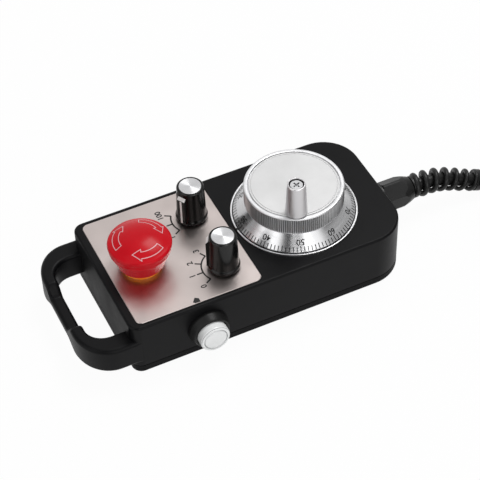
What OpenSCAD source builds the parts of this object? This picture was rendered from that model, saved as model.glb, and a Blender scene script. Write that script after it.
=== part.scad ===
// Handheld pulse generator: a flat control box with a carry handle, a graduated handwheel,
// two selector knobs, a stop button, an enable button and a cable with a spiral strain relief.
// X runs along the box from the handle to the cable, Z is up. The origin lies on the resting
// face, in the middle of the box's width and below the handwheel's axis. Sizes are in mm.

/* [Housing] */
// Distance from the handwheel's axis to the handle end of the box
handle_side = 98; // [94:1:112]
// Distance from the handwheel's axis to the cable end of the box
cable_side = 44; // [42:1:52]
// Width of the box
body_w = 73; // [72:1:84]
// Height of the box
body_h = 30; // [29:0.5:36]
// Thickness of the housing's walls
wall = 2.5; // [2:0.1:3]
// Height of the bottom cover's rim, where the seam runs
cover_h = 4.6; // [4:0.1:6]
// Radius of the upright corners at the handle end
corner_r = 5; // [4:0.5:8]
// Radius of the upright corners at the cable end
end_r = 18; // [14:1:22]
// Rounding of the top and bottom edges
edge_r = 1.2; // [0.8:0.1:1.6]
// Offset of the row of controls from the middle of the box
control_y = -1.2; // [-2:0.1:2]

/* [Carry handle] */
// How far the handle's loop stands out from the box
handle_reach = 22; // [20:1:30]
// Height of the loop's upper face
handle_top = 21; // [19:0.5:24]
// Height of the loop's lower face
handle_low = 6.8; // [6:0.2:9]
// Width of the two arms of the loop
arm_w = 10.3; // [8:0.1:12]
// Width of the grip between the arms
grip_w = 6.2; // [5:0.1:8]
// Height of the grip's upper face
grip_top = 15.7; // [14.5:0.1:18]
// Height of the grip's lower face
grip_low = 10.3; // [9.5:0.1:12]
// Half length of the lowered part of the grip
grip_half = 9.5; // [7:0.5:12]
// Length of the ramp from the grip up to the arms
grip_ramp = 6; // [4:0.5:8]
// Rounding of the loop's edges
loop_r = 2; // [1:0.1:2.5]

/* [Panel plate] */
// Distance from the plate to the ring round the dial
plate_gap = 2; // [1.5:0.5:5]
// Distance from the plate to the handle end of the box
plate_end = 4; // [3.5:0.5:6]
// Distance from the plate to the long sides of the box
plate_side = 2.5; // [2:0.1:4]
// Thickness of the plate
plate_t = 1; // [0.8:0.1:1.2]
// Depth of the recess that holds the plate
plate_sunk = 0.8; // [0.5:0.1:1.2]
// Corner radius of the plate
plate_r = 3; // [2:0.5:5]

/* [Handwheel] */
// Diameter of the fixed ring round the dial
ring_d = 60; // [59:0.5:62]
// Height of the fixed ring above the box
ring_h = 1; // [0.8:0.1:1.4]
// Width of the fixed ring's raised edge
ring_w = 0.9; // [0.7:0.1:1.2]
// Diameter of the wheel that the hand turns
wheel_d = 47; // [44:0.5:49]
// Height of the wheel's knurled rim
wheel_h = 9; // [8:0.2:11]
// Height of the graduated cone below the wheel
dial_h = 7.6; // [6:0.2:9]
// Diameter of the shaft
shaft_d = 6; // [5:0.5:7]
// Distance of the spinner from the wheel's axis
spinner_at = 18.4; // [16:0.2:18.6]
// Direction of the spinner round the wheel's axis, in degrees
spinner_turn = -113; // [-180:1:180]
// Diameter of the spinner at its foot
spinner_d = 10.2; // [9:0.1:10.4]
// Diameter of the spinner at its top
spinner_top_d = 8.5; // [8:0.1:9]
// Height of the spinner
spinner_h = 17.7; // [15:0.1:20]

/* [Encoder] */
// Diameter of the encoder's case below the panel
case_d = 50; // [46:1:51]
// Depth of the case below the top of the box
case_depth = 22; // [21:0.5:23]
// Outer diameter of the two ball bearings
bearing_d = 13; // [12:1:15]
// Width of each ball bearing
bearing_w = 4.5; // [4:0.5:5]

/* [Stop button] */
// Distance of the stop button's axis from the handle end of the box
stop_in = 20; // [19:0.1:21]
// Diameter of the head
stop_d = 29.7; // [28:0.1:34]
// Height of the head's skirt above the plate
stop_gap = 2.8; // [2.6:0.1:4]
// Height of the head from its skirt to its rim
stop_skirt_h = 12.2; // [11.5:0.1:14]
// Rise of the dome above the rim
stop_dome_h = 4.9; // [4:0.1:6]
// Travel of the head when it is pressed
stop_travel = 2.4; // [2:0.1:2.4]
// Diameter of the threaded bush
stop_bush_d = 16; // [15:0.5:17]

/* [Selectors] */
// Distance of the selectors from the handwheel's axis
selector_x = 44.7; // [44:0.1:46]
// Half the distance between the two selectors
selector_y = 17.8; // [17:0.1:19]
// Diameter of a knob at its foot
knob_d = 15.2; // [14:0.1:16]
// Diameter of a knob at its top
knob_top_d = 12.4; // [11:0.1:13]
// Height of a knob
knob_h = 19.2; // [16:0.1:22]
// Diameter of the metal cap in a knob
cap_d = 10.5; // [9:0.1:11]
// Diameter of a selector's threaded bush
bush_d = 9; // [8:0.5:9.5]
// Direction of the rate selector's pointer, in degrees
rate_turn = 210; // [150:30:210]
// Direction of the axis selector's pointer, in degrees
axis_turn = 150; // [120:30:240]

/* [Enable button] */
// Distance of the enable button from the handwheel's axis
enable_x = 61.5; // [60:0.1:62]
// Height of the enable button's axis
enable_z = 15; // [14.5:0.1:15.5]
// Diameter of the bezel at the wall
bezel_d = 19.5; // [18:0.1:20.5]
// How far the bezel stands out
bezel_out = 5; // [4:0.1:6]
// Diameter of the cap
button_d = 14.4; // [13:0.1:15]
// How far the cap stands out from the bezel
button_out = 4.1; // [3:0.1:5]
// Travel of the cap when it is pressed
button_travel = 2.5; // [1.5:0.1:2.6]

/* [Cable] */
// Diameter of the cable
cable_d = 6.5; // [6:0.1:7]
// Diameter of the gland's thread
gland_d = 12.5; // [12:0.1:13]
// Width across the flats of the gland nut
gland_flats = 14; // [13.6:0.1:15]
// Turns of the spiral strain relief
relief_turns = 6.5; // [5:0.5:7]

/* [Hidden] */
$fn = 48;

slip = 0.05;            // radial clearance of a running fit
seat = 0.02;            // clearance of a fixed fit
air = 0.3;              // gap between parts that pass each other
half_w = body_w / 2;
panel_z = body_h - wall;                        // inner face of the top wall
plate_z = body_h - plate_sunk + plate_t;        // upper face of the panel plate
plate_l = handle_side - plate_end - ring_d / 2 - plate_gap;
sunk_z = body_h - plate_sunk;                   // floor of the plate's recess

// A rectangle with rounded corners about the origin
module rounded_square(l, w, r) {
    square([l - 2 * r, w], center = true);
    square([l, w - 2 * r], center = true);
    for (sx = [-1, 1], sy = [-1, 1])
        translate([sx * (l / 2 - r), sy * (w / 2 - r)]) circle(r);
}

// A tube about the Z axis
module tube(r_out, r_in, h) {
    difference() {
        cylinder(r = r_out, h = h);
        translate([0, 0, -1]) cylinder(r = r_in, h = h + 2);
    }
}

// Plan of the box, drawn smaller by inset
module box_plan(inset) {
    small = corner_r - inset;
    big = end_r - inset;
    x0 = -handle_side + inset;
    x1 = cable_side - inset;
    y1 = half_w - inset;
    translate([x0 + small, -y1]) square([x1 - big - x0 - small, 2 * y1]);
    translate([x0, -y1 + small]) square([2 * small, 2 * (y1 - small)]);
    translate([x1 - 2 * big, -y1 + big]) square([2 * big, 2 * (y1 - big)]);
    for (s = [-1, 1]) {
        translate([x0 + small, s * (y1 - small)]) circle(small);
        translate([x1 - big, s * (y1 - big)]) circle(big);
    }
}

// Section of a rounded edge: r deep, h high, its outer top corner rounded by f
module edge_section(r, h, f) {
    square([r, h - f]);
    square([r - f, h]);
    translate([r - f, h - f]) circle(f);
}

// One straight run of the rounded edge, l long, facing the direction turn
module edge_run(at, turn, l, r, h) {
    translate([at.x, at.y, 0]) rotate(turn) translate([0, l / 2, 0])
        rotate([90, 0, 0]) linear_extrude(l) edge_section(r, h, edge_r);
}

// One rounded upright corner, turned so that it faces outwards
module edge_corner(at, turn, r, h) {
    translate([at.x, at.y, 0]) rotate(turn) rotate_extrude(angle = 90) edge_section(r, h, edge_r);
}

// The box as a solid block of height h with its top edge rounded
module box_block(h) {
    x0 = -handle_side + corner_r;
    x1 = cable_side - end_r;
    y0 = half_w - corner_r;
    y1 = half_w - end_r;
    translate([x0, -y0, 0]) cube([x1 - x0, 2 * y0, h]);
    edge_run([(x0 + x1) / 2, -y0], -90, x1 - x0, corner_r, h);
    edge_run([(x0 + x1) / 2, y0], 90, x1 - x0, corner_r, h);
    edge_run([x0, 0], 180, 2 * y0, corner_r, h);
    edge_run([x1, 0], 0, 2 * y1, end_r, h);
    edge_corner([x0, y0], 90, corner_r, h);
    edge_corner([x0, -y0], 180, corner_r, h);
    edge_corner([x1, y1], 0, end_r, h);
    edge_corner([x1, -y1], -90, end_r, h);
}

// A closed skin over a row of rings, each a list of the same number of points
module skin(rings) {
    n = len(rings[0]);
    m = len(rings);
    points = [for (ring = rings) each ring];
    sides = [for (j = [0:m - 2], i = [0:n - 1])
        [j * n + i, j * n + (i + 1) % n, (j + 1) * n + (i + 1) % n, (j + 1) * n + i]];
    ends = [[for (i = [n - 1:-1:0]) i], [for (i = [0:n - 1]) (m - 1) * n + i]];
    polyhedron(points, concat(sides, ends), convexity = 6);
}

function smooth(t) = t <= 0 ? 0 : t >= 1 ? 1 : t * t * (3 - 2 * t);
function unit(v) = v / norm(v);

// ---- carry handle ----

loop_bend_x = 13;       // reach of the loop's bend along the box
loop_bend_y = 14;       // reach of the loop's bend across the box
low_ramp = 1.6;         // length of the lower ramp against the upper one
arm_in = 0.05;          // the arms' outer faces lie this far inside the box's sides
arm_y = half_w - arm_in - arm_w / 2;
grip_x = -(handle_side + handle_reach - grip_w / 2);
bend_x = grip_x + loop_bend_x;
bend_y = arm_y - loop_bend_y;

function loop_high(y) = grip_top + (handle_top - grip_top) * smooth((abs(y) - grip_half) / grip_ramp);
function loop_base(y) = grip_low
    - (grip_low - handle_low) * smooth((abs(y) - grip_half) / (low_ramp * grip_ramp));

// One section of the loop: centre, outward direction and width
function loop_ring(x, y, out, w) = [for (q = [0:3], k = [0:3])
    let (a = 90 * q + 30 * k, r = min(loop_r, w / 2 - 0.1),
        side = (q == 0 || q == 3 ? 1 : -1) * (w / 2 - r) + r * cos(a),
        z = (q < 2 ? loop_high(y) - r : loop_base(y) + r) + r * sin(a))
    [x + out.x * side, y + out.y * side, z]];

loop_half = concat(
    [[-handle_side + corner_r, half_w - arm_in - wall / 2, [0, 1], wall - 2 * arm_in],
        [-handle_side + wall / 2, arm_y, [0, 1], arm_w]],
    [for (a = [0:9:90]) [bend_x - loop_bend_x * sin(a), bend_y + loop_bend_y * cos(a),
        unit([-sin(a) / loop_bend_x, cos(a) / loop_bend_y]), arm_w + (grip_w - arm_w) * smooth(a / 90)]],
    [for (k = [1:6]) [grip_x, bend_y - (bend_y - grip_half) * k / 6, [-1, 0], grip_w]]);
loop_back = [for (k = [len(loop_half) - 1:-1:0]) let (s = loop_half[k])
    [s[0], -s[1], [s[2].x, -s[2].y], s[3]]];

// ---- housing ----

boss_r = 3.5;           // screw pillars inside the box
boss_in = 5;            // distance of a pillar's axis from the outer face
screw_r = 1.5;          // cover screws
screw_head_r = 2.9;
screw_tip_z = 14;
groove = 0.4;           // shadow groove at the seam
lip_h = 1;              // locating lip of the bottom cover
lip_t = 1.2;
boss_end = end_r - boss_in;
bosses = [for (s = [-1, 1]) each [
    [-handle_side + boss_in, s * (half_w - boss_in)],
    [cable_side - end_r + boss_end * cos(45), s * (half_w - end_r + boss_end * sin(45))]]];

case_r = case_d / 2;
stop_at = [stop_in - handle_side, control_y];
rate_at = [-selector_x, control_y + selector_y];
axis_at = [-selector_x, control_y - selector_y];
enable_at = [-enable_x, -half_w, enable_z];
gland_z = body_h / 2;
gland_r = gland_d / 2;
barrel_r = 8;           // threaded barrel of the enable button
plate_mid_x = -handle_side + plate_end + plate_l / 2;

// Turns its children so that their Z axis points out of the enable button's wall
module at_enable() {
    translate(enable_at) rotate([90, 0, 0]) children();
}

// Turns its children so that their Z axis points out of the cable end
module at_gland() {
    translate([cable_side, 0, gland_z]) rotate([0, 90, 0]) children();
}

// Holes that the stop button and the two selectors pass through
module panel_holes(gap) {
    translate([stop_at.x, stop_at.y, panel_z - 1]) cylinder(d = stop_bush_d + 2 * gap, h = wall + 3);
    for (at = [rate_at, axis_at])
        translate([at.x, at.y, panel_z - 1]) cylinder(d = bush_d + 2 * gap, h = wall + 3);
}

module upper_housing() {
    color([0.13, 0.13, 0.14]) {
        difference() {
            translate([0, 0, cover_h]) box_block(body_h - cover_h);
            translate([0, 0, cover_h - 1]) linear_extrude(panel_z - cover_h + 1) box_plan(wall);
            translate([plate_mid_x, 0, sunk_z]) linear_extrude(plate_t)
                rounded_square(plate_l + 0.2, body_w - 2 * plate_side + 0.2, plate_r + 0.1);
            translate([0, control_y, panel_z - 1]) cylinder(r = case_r + seat, h = wall + 2);
            panel_holes(seat);
            at_enable() translate([0, 0, -wall - 1]) cylinder(r = barrel_r + seat, h = wall + 2);
            at_gland() translate([0, 0, -wall - 1]) cylinder(r = gland_r + seat, h = wall + 2);
        }
        for (at = bosses) translate([at.x, at.y, cover_h])
            tube(boss_r, screw_r + seat, panel_z - cover_h + 0.1);
        difference() {
            skin([for (s = concat(loop_half, loop_back)) loop_ring(s[0], s[1], s[2], s[3])]);
            for (at = bosses) translate([at.x, at.y, cover_h - 1])
                cylinder(r = boss_r - 0.5, h = panel_z - cover_h + 1);
        }
    }
}

module bottom_cover() {
    color([0.12, 0.12, 0.13]) difference() {
        union() {
            difference() {
                union() {
                    translate([0, 0, cover_h - groove]) mirror([0, 0, 1]) box_block(cover_h - groove);
                    translate([0, 0, wall]) linear_extrude(cover_h - wall) box_plan(groove);
                    translate([0, 0, wall]) linear_extrude(cover_h - wall + lip_h) box_plan(wall + air / 2);
                }
                translate([0, 0, wall]) linear_extrude(cover_h) box_plan(wall + air / 2 + lip_t);
                for (at = bosses) translate([at.x, at.y, cover_h]) cylinder(r = boss_r + air, h = lip_h + 1);
            }
            for (at = bosses) translate([at.x, at.y, 1]) cylinder(r = boss_r, h = cover_h - 1);
        }
        for (at = bosses) translate([at.x, at.y, 0]) {
            translate([0, 0, -1]) cylinder(r = screw_r + seat, h = cover_h + 2);
            translate([0, 0, -1]) cylinder(r = screw_head_r + seat, h = 1.3);
            translate([0, 0, 0.3]) cylinder(r1 = screw_head_r + seat, r2 = screw_r + seat, h = 1.4);
        }
    }
}

// Countersunk screws that hold the cover, with cross slots
module cover_screws() {
    color([0.35, 0.35, 0.37]) for (at = bosses) translate([at.x, at.y, 0.3]) difference() {
        union() {
            cylinder(r1 = screw_head_r, r2 = screw_r, h = 1.4);
            cylinder(r = screw_r, h = screw_tip_z - 0.3);
        }
        for (turn = [0, 90]) rotate(turn) cube([3, 0.6, 1.6], center = true);
    }
}

module panel_plate() {
    color([0.78, 0.75, 0.73]) difference() {
        translate([plate_mid_x, 0, sunk_z]) linear_extrude(plate_t)
            rounded_square(plate_l, body_w - 2 * plate_side, plate_r);
        panel_holes(seat);
    }
}

nut_h = 3;              // height of the ring nuts and lock nuts

// ---- encoder behind the handwheel ----

flange_t = 0.5;         // floor of the ring round the dial
case_wall = 1.5;
case_low = body_h - case_depth;
shaft_r = shaft_d / 2;
bearing_r = bearing_d / 2;
board_t = 1.6;
back_t = 2;
back_boss_h = 4.5;
back_boss_r = bearing_r + 2;
board_z = case_low + 4;
disc_z = board_z + board_t + 4.5;
disc_r = 17;
disc_t = 0.6;
ring_r = ring_d / 2;
dial_r = ring_r - ring_w - air;
dial_z = body_h + flange_t + air;
wheel_r = wheel_d / 2;
wheel_z = dial_z + dial_h;
wheel_top = wheel_z + wheel_h;
dial_edge = 0.7;        // upright edge of the dial below its cone
face_t = 0.8;
web_t = 1.6;
rim_t = 2.3;
bead_w = 2;             // raised bead round the wheel's face
hub_r = 8;
shaft_low = case_low + back_t + air;
shaft_high = wheel_z + 5.2;
terminal_h = case_low - 4.2;
terminal_l = 22;
spinner_screw_r = 2;
spinner_screw_z = wheel_top - 5;
spinner_seat_z = wheel_top + air + spinner_h - 2.6;

// ---- sizes of the stop button, selectors and enable button ----

stem_r = 3.8;
stop_bush_r = stop_bush_d / 2;
stop_bush_in = 11.5;    // how far the bush reaches below the panel
stop_bush_low = panel_z - stop_bush_in;
stop_bush_high = plate_z + 7.3;
stop_block_z = 5;
stop_block_l = 19;      // length of the contact block across the box
stop_block_w = 17;
stop_terminal_y = 7;    // distance of the block's terminals from its middle
stop_collar_r = stop_bush_r + 1.3;
collar_h = 5.8;
head_hollow = stop_bush_high + stop_travel + air - plate_z - stop_gap + 0.5;
hollow_turn = -137;
scallop_r = 8;          // finger hollows round the head's flank
scallop_out = 6.9;      // distance of a hollow's axis from the head's edge
scallop_z = 0.42 * stop_skirt_h;
stem_low = stop_block_z + 2 + 7.5;
stem_high = plate_z + stop_gap + stop_skirt_h - 2;

bush_r = bush_d / 2;
switch_w = 16;
switch_depth = 15.5;
switch_z = panel_z - switch_depth;
switch_bush_h = 6.5;
selector_board_z = switch_z - 5.6;
knob_z = plate_z + 0.8;
cap_t = 0.8;
pointer_w = 4.2;
line_w = 1;
line_t = 0.5;
line_z = 1.4;
line_h = knob_h - 5.4;

barrel_l = 12.5;
barrel_bore = 6;
enable_block_l = 9;
plunger_r = 4;
plunger_low = -barrel_l - 1.5;
cap_low = 0.2 + button_travel + 0.3;

// ---- sizes of the cable and its gland ----

cable_r = cable_d / 2;
gland_in = 6.5;
gland_collar = 4;
gland_nut_l = 15.7;
relief_from_r = 6.5;    // outer radius of the spiral at the gland
relief_to_r = 5.45;     // outer radius of the spiral at its far end
relief_first = 2.15;    // places along the cable's route
relief_last = 8;
tie_turn = -40;
tie_w = 4;
tie_t = 0.8;
core_r = 0.6;           // insulated cores at the cable's free end
core_l = 24;
core_tip = 5;           // bare tip of each core

module on_wheel_axis(z) {
    translate([0, control_y, z]) children();
}

// The case hangs in the panel by the fixed ring round the dial
module encoder_case() {
    color([0.8, 0.8, 0.81]) on_wheel_axis(0) {
        difference() {
            union() {
                translate([0, 0, case_low]) cylinder(r = case_r, h = case_depth);
                translate([0, 0, body_h]) cylinder(r = ring_r, h = ring_h);
            }
            translate([0, 0, body_h + flange_t]) cylinder(r = ring_r - ring_w, h = ring_h);
            translate([0, 0, case_low - 1]) cylinder(r = case_r - case_wall, h = panel_z - case_low + 1);
            translate([0, 0, panel_z - 1]) cylinder(r = shaft_r + 1, h = wall + 2);
        }
        translate([0, 0, panel_z - bearing_w]) tube(back_boss_r, bearing_r + seat, bearing_w + 0.1);
    }
}

module encoder_ring_nut() {
    color([0.55, 0.55, 0.57]) on_wheel_axis(panel_z - nut_h) difference() {
        tube(case_r + 3.5, case_r + seat, nut_h);
        for (turn = [0:60:300]) rotate(turn) translate([case_r + 3.5, 0, nut_h / 2])
            cube([2.4, 3, nut_h + 2], center = true);
    }
}

// Ball bearing with the gap between its rings shown on both faces
module bearing(z) {
    on_wheel_axis(z) difference() {
        tube(bearing_r, shaft_r + slip, bearing_w);
        for (at = [-0.4, bearing_w - 0.4]) translate([0, 0, at])
            tube(bearing_r - 1.2, shaft_r + 1.2, 0.8);
    }
}

module upper_bearing() {
    color([0.7, 0.7, 0.72]) bearing(panel_z - bearing_w);
}

module lower_bearing() {
    color([0.7, 0.7, 0.72]) bearing(case_low + back_t);
}

module encoder_back() {
    color([0.2, 0.2, 0.21]) on_wheel_axis(case_low) difference() {
        union() {
            cylinder(r = case_r - case_wall - seat, h = back_t);
            cylinder(r = back_boss_r, h = back_t + bearing_w);
        }
        translate([0, 0, back_t]) cylinder(r = bearing_r + seat, h = bearing_w + 1);
    }
}

module encoder_board() {
    color([0.08, 0.3, 0.16]) on_wheel_axis(board_z)
        tube(case_r - case_wall - 0.1, back_boss_r + air, board_t);
}

// Slotted light barrier that the rim of the code disc runs through
module encoder_sensor() {
    sensor_z = board_z + board_t;
    color([0.1, 0.1, 0.11]) on_wheel_axis(sensor_z) difference() {
        translate([disc_r - 5, -4, 0]) cube([8, 8, disc_z + disc_t + 2.4 - sensor_z]);
        translate([0, -5, disc_z - sensor_z - 0.9]) cube([disc_r + 0.8, 10, disc_t + 1.8]);
    }
}

// Screw terminals under the encoder's back plate, in two rows
module encoder_terminals() {
    color([0.14, 0.42, 0.2]) on_wheel_axis(case_low - terminal_h) difference() {
        translate([-terminal_l / 2, -4, 0]) cube([terminal_l, 8, terminal_h]);
        for (k = [0:4], y = [-2, 2]) translate([(k - 2) * terminal_l / 5.4, y, -0.1])
            cylinder(r = 1, h = 1.1);
    }
}

module encoder_shaft() {
    color([0.72, 0.72, 0.74]) on_wheel_axis(shaft_low) difference() {
        cylinder(r = shaft_r, h = shaft_high - shaft_low);
        translate([0, 0, shaft_high - shaft_low - 8]) cylinder(r = screw_r + seat, h = 9);
    }
}

// Glass code disc on a hub, with a ring of slots at its edge
module code_disc() {
    color([0.62, 0.66, 0.7]) on_wheel_axis(disc_z) {
        difference() {
            tube(disc_r, shaft_r + seat, disc_t);
            for (turn = [0:15:345]) rotate(turn) translate([disc_r - 1.6, 0, disc_t / 2])
                cube([1.6, 0.9, disc_t + 1], center = true);
        }
        translate([0, 0, -1.2]) tube(shaft_r + 2, shaft_r + seat, disc_t + 2.4);
    }
}

// ---- handwheel ----

// Cone with the graduation, closed at the top where the wheel sits on it
module graduated_dial() {
    top_r = wheel_r - 1.5;
    skin_t = 1.5;
    color([0.8, 0.8, 0.81]) on_wheel_axis(0) rotate_extrude() polygon([
        [dial_r, dial_z], [dial_r, dial_z + dial_edge], [top_r, wheel_z], [shaft_r + seat, wheel_z],
        [shaft_r + seat, wheel_z - skin_t], [top_r - 1, wheel_z - skin_t],
        [dial_r - 1.6, dial_z]]);
}

// A ring of fine flutes that the fingers grip
module fluted(r, depth, count, h) {
    linear_extrude(h) polygon([for (k = [0:2 * count - 1])
        let (a = 180 * k / count, d = r - (k % 2 == 0 ? 0 : depth)) [d * cos(a), d * sin(a)]]);
}

module on_spinner_axis(z) {
    translate([spinner_at * cos(spinner_turn), control_y + spinner_at * sin(spinner_turn), z])
        children();
}

module wheel_knob() {
    web_z = wheel_top - face_t - web_t;
    color([0.68, 0.68, 0.69]) difference() {
        union() {
            on_wheel_axis(wheel_z) {
                difference() {
                    union() {
                        cylinder(r = wheel_r - 0.6, h = wheel_h);
                        translate([0, 0, 0.6]) fluted(wheel_r, 0.3, 90, wheel_h - 1.2);
                    }
                    translate([0, 0, -1]) cylinder(r = wheel_r - rim_t, h = web_z - wheel_z + 1);
                    translate([0, 0, wheel_h - face_t]) cylinder(r = wheel_r - bead_w, h = face_t + 1);
                }
                cylinder(r = hub_r, h = web_z - wheel_z + 0.1);
            }
            on_spinner_axis(spinner_screw_z - 1) cylinder(r = 4, h = web_z - spinner_screw_z + 1.1);
        }
        on_wheel_axis(wheel_z - 1) cylinder(r = shaft_r + seat, h = shaft_high - wheel_z + 1);
        on_wheel_axis(wheel_z) cylinder(r = screw_r + seat, h = wheel_h);
        on_wheel_axis(shaft_high + 1) cylinder(r = screw_head_r + seat, h = wheel_h);
        on_spinner_axis(spinner_screw_z) cylinder(r = spinner_screw_r + seat, h = wheel_h);
    }
}

// Light disc let into the top of the wheel
module wheel_face() {
    color([0.72, 0.72, 0.73]) difference() {
        on_wheel_axis(wheel_top - face_t) cylinder(r = wheel_r - bead_w - seat, h = face_t);
        on_spinner_axis(wheel_top - face_t - 1) cylinder(r = spinner_screw_r + seat, h = face_t + 2);
    }
}

// Screw under the disc that clamps the wheel on the shaft's end
module wheel_screw() {
    color([0.6, 0.6, 0.62]) on_wheel_axis(shaft_high + 1) difference() {
        union() {
            translate([0, 0, -8]) cylinder(r = screw_r, h = 8.1);
            cylinder(r = screw_head_r, h = 1.6);
        }
        translate([0, 0, 0.7]) cylinder(r = 1.5, h = 2, $fn = 6);
    }
}

// Shouldered screw that the spinner turns on
module spinner_screw() {
    color([0.62, 0.62, 0.63]) on_spinner_axis(spinner_screw_z) difference() {
        union() {
            cylinder(r = spinner_screw_r, h = spinner_seat_z - spinner_screw_z + 0.1);
            translate([0, 0, spinner_seat_z - spinner_screw_z]) cylinder(r = screw_head_r, h = 1.9);
        }
        for (turn = [20, 110]) rotate(turn)
            translate([0, 0, spinner_seat_z - spinner_screw_z + 2]) cube([3.6, 0.8, 2], center = true);
    }
}

module spinner_grip() {
    top_r = spinner_top_d / 2;
    color([0.7, 0.7, 0.71]) on_spinner_axis(wheel_top + air) difference() {
        rotate_extrude() {
            polygon([[0, 0], [spinner_d / 2 - 0.3, 0], [spinner_d / 2, 0.3],
                [top_r, spinner_h - 0.5], [top_r - 0.5, spinner_h], [0, spinner_h]]);
        }
        translate([0, 0, -1]) cylinder(r = spinner_screw_r + slip, h = spinner_h + 2);
        translate([0, 0, spinner_seat_z - wheel_top - air - 0.1])
            cylinder(r = screw_head_r + 0.25, h = spinner_h);
    }
}

// ---- stop button ----

module on_stop_axis(z) {
    translate([stop_at.x, stop_at.y, z]) children();
}

module stop_bush() {
    color([0.16, 0.16, 0.16]) on_stop_axis(stop_bush_low)
        tube(stop_bush_r, stem_r + slip + 0.02, stop_bush_high - stop_bush_low);
}

// Coloured collar on the plate, partly inside the head
module stop_collar() {
    color([0.85, 0.55, 0.05]) on_stop_axis(plate_z)
        tube(stop_collar_r, stop_bush_r + seat, collar_h);
}

module stop_nut() {
    color([0.5, 0.5, 0.52]) on_stop_axis(panel_z - nut_h) difference() {
        cylinder(r = stop_bush_r + 3.9, h = nut_h, $fn = 6);
        translate([0, 0, -1]) cylinder(r = stop_bush_r + seat, h = nut_h + 2);
    }
}

// Contact block that hangs under the bush, with its two screw terminals
module stop_contact_block() {
    color([0.2, 0.22, 0.24]) on_stop_axis(stop_block_z) difference() {
        translate([-stop_block_w / 2, -stop_block_l / 2, 0])
            cube([stop_block_w, stop_block_l, stop_bush_low - stop_block_z]);
        translate([0, 0, 2]) cylinder(r = stem_r + 0.6, h = stop_bush_low);
        for (y = [-stop_terminal_y, stop_terminal_y])
            translate([0, y, -0.1]) cylinder(r = 1.6, h = 1.5);
    }
}

module stop_stem() {
    color([0.75, 0.2, 0.15]) on_stop_axis(stem_low) cylinder(r = stem_r, h = stem_high - stem_low);
}

// A coil spring about Z as one swept solid: mean radius r, wire radius w, height h
module spring(r, w, turns, h) {
    steps = 10;
    rise = h - 2 * w;
    skin([for (k = [0:turns * steps]) let (a = 360 * k / steps, z = w + rise * k / (turns * steps))
        [for (i = [0:5]) let (b = 60 * i)
            [(r + w * sin(b)) * cos(a), (r + w * sin(b)) * sin(a), z + w * cos(b)]]]);
}

module stop_spring() {
    color([0.7, 0.7, 0.7]) on_stop_axis(stop_block_z + 2 + seat)
        spring(stem_r - 0.5, 0.4, 4, stem_low - stop_block_z - 2 - 2 * seat);
}

// Mushroom head, hollow from below, with six finger hollows round its skirt
module stop_head() {
    r = stop_d / 2;
    foot_z = plate_z + stop_gap;
    bow_r = 1.5;
    cap_r = r - bow_r;
    cap_rise = stop_dome_h - bow_r + 0.3;
    ball_r = (cap_r * cap_r + cap_rise * cap_rise) / (2 * cap_rise);
    half_angle = asin(cap_r / ball_r);
    color([0.8, 0.05, 0.06]) on_stop_axis(foot_z) difference() {
        rotate_extrude() polygon(concat(
            [[0, 0], [0.74 * r, 0], [0.85 * r, 0.37 * stop_skirt_h], [0.97 * r, 0.72 * stop_skirt_h]],
            [for (a = [0:18:72]) [cap_r + bow_r * cos(a), stop_skirt_h - 0.4 + bow_r * sin(a)]],
            [for (k = [7:-1:0]) let (a = half_angle * k / 8)
                [ball_r * sin(a), stop_skirt_h + stop_dome_h - ball_r * (1 - cos(a))]]));
        translate([0, 0, -1]) cylinder(r = stop_collar_r + air, h = head_hollow + 1);
        cylinder(r = stem_r + slip, h = stem_high - foot_z);
        for (k = [0:5]) rotate(hollow_turn + 60 * k) translate([r + scallop_out, 0, 0]) {
            translate([0, 0, -1]) cylinder(r = scallop_r, h = scallop_z + 1);
            translate([0, 0, scallop_z]) sphere(scallop_r);
        }
    }
}

// ---- selectors ----

// Rotary switch with its threaded bush and six pins
module selector_switch(at) {
    translate([at.x, at.y, 0]) {
        difference() {
            union() {
                translate([-switch_w / 2, -switch_w / 2, switch_z])
                    cube([switch_w, switch_w, panel_z - switch_z]);
                translate([0, 0, panel_z]) cylinder(r = bush_r, h = switch_bush_h);
            }
            translate([0, 0, switch_z + 2]) cylinder(r = shaft_r + slip, h = body_h);
        }
        for (a = [30:60:330]) rotate(a) translate([6, 0, selector_board_z + board_t])
            cylinder(r = 0.5, h = switch_z - selector_board_z - board_t + 0.1);
    }
}

module selector_nut(at) {
    translate([at.x, at.y, plate_z]) difference() {
        tube(bush_r + 1.3, bush_r + seat, 2);
        for (turn = [0:90:270]) rotate(turn) translate([bush_r + 1.3, 0, 1.5])
            cube([1.4, 1.6, 2], center = true);
    }
}

module selector_shaft(at) {
    foot_z = switch_z + 2 + air;
    translate([at.x, at.y, foot_z]) cylinder(r = shaft_r, h = knob_z + knob_h - 5 - foot_z);
}

// Tapered knob with a chamfered foot and a raised pointer on one side
module selector_knob(at, turn) {
    r = knob_d / 2;
    top_r = knob_top_d / 2;
    translate([at.x, at.y, knob_z]) rotate(turn) difference() {
        union() {
            rotate_extrude() polygon([[0, 0], [r - 0.7, 0], [r, 0.6], [r, 1.6], [r - 0.5, 2.4],
                [top_r, knob_h - 0.5], [top_r - 0.5, knob_h], [0, knob_h]]);
            translate([0, -pointer_w / 2, 0.8]) cube([r + 0.2, pointer_w, knob_h - 3]);
        }
        translate([r + 0.2, 0, knob_h - 3.6]) rotate([0, -40, 0]) translate([0, -5, 0]) cube([6, 10, 6]);
        translate([0, 0, -1]) cylinder(r = bush_r + 1.6, h = 6.4);
        cylinder(r = shaft_r + seat, h = knob_h - 5);
        translate([0, 0, knob_h - cap_t]) cylinder(d = cap_d + 2 * seat, h = 2);
        translate([r + 0.2 - line_t, -line_w / 2 - seat, line_z]) cube([1, line_w + 2 * seat, line_h]);
    }
}

// Radially brushed metal cap with a short stud
module selector_cap(at) {
    translate([at.x, at.y, knob_z + knob_h - cap_t]) cylinder(d = cap_d, h = cap_t);
}

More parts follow.
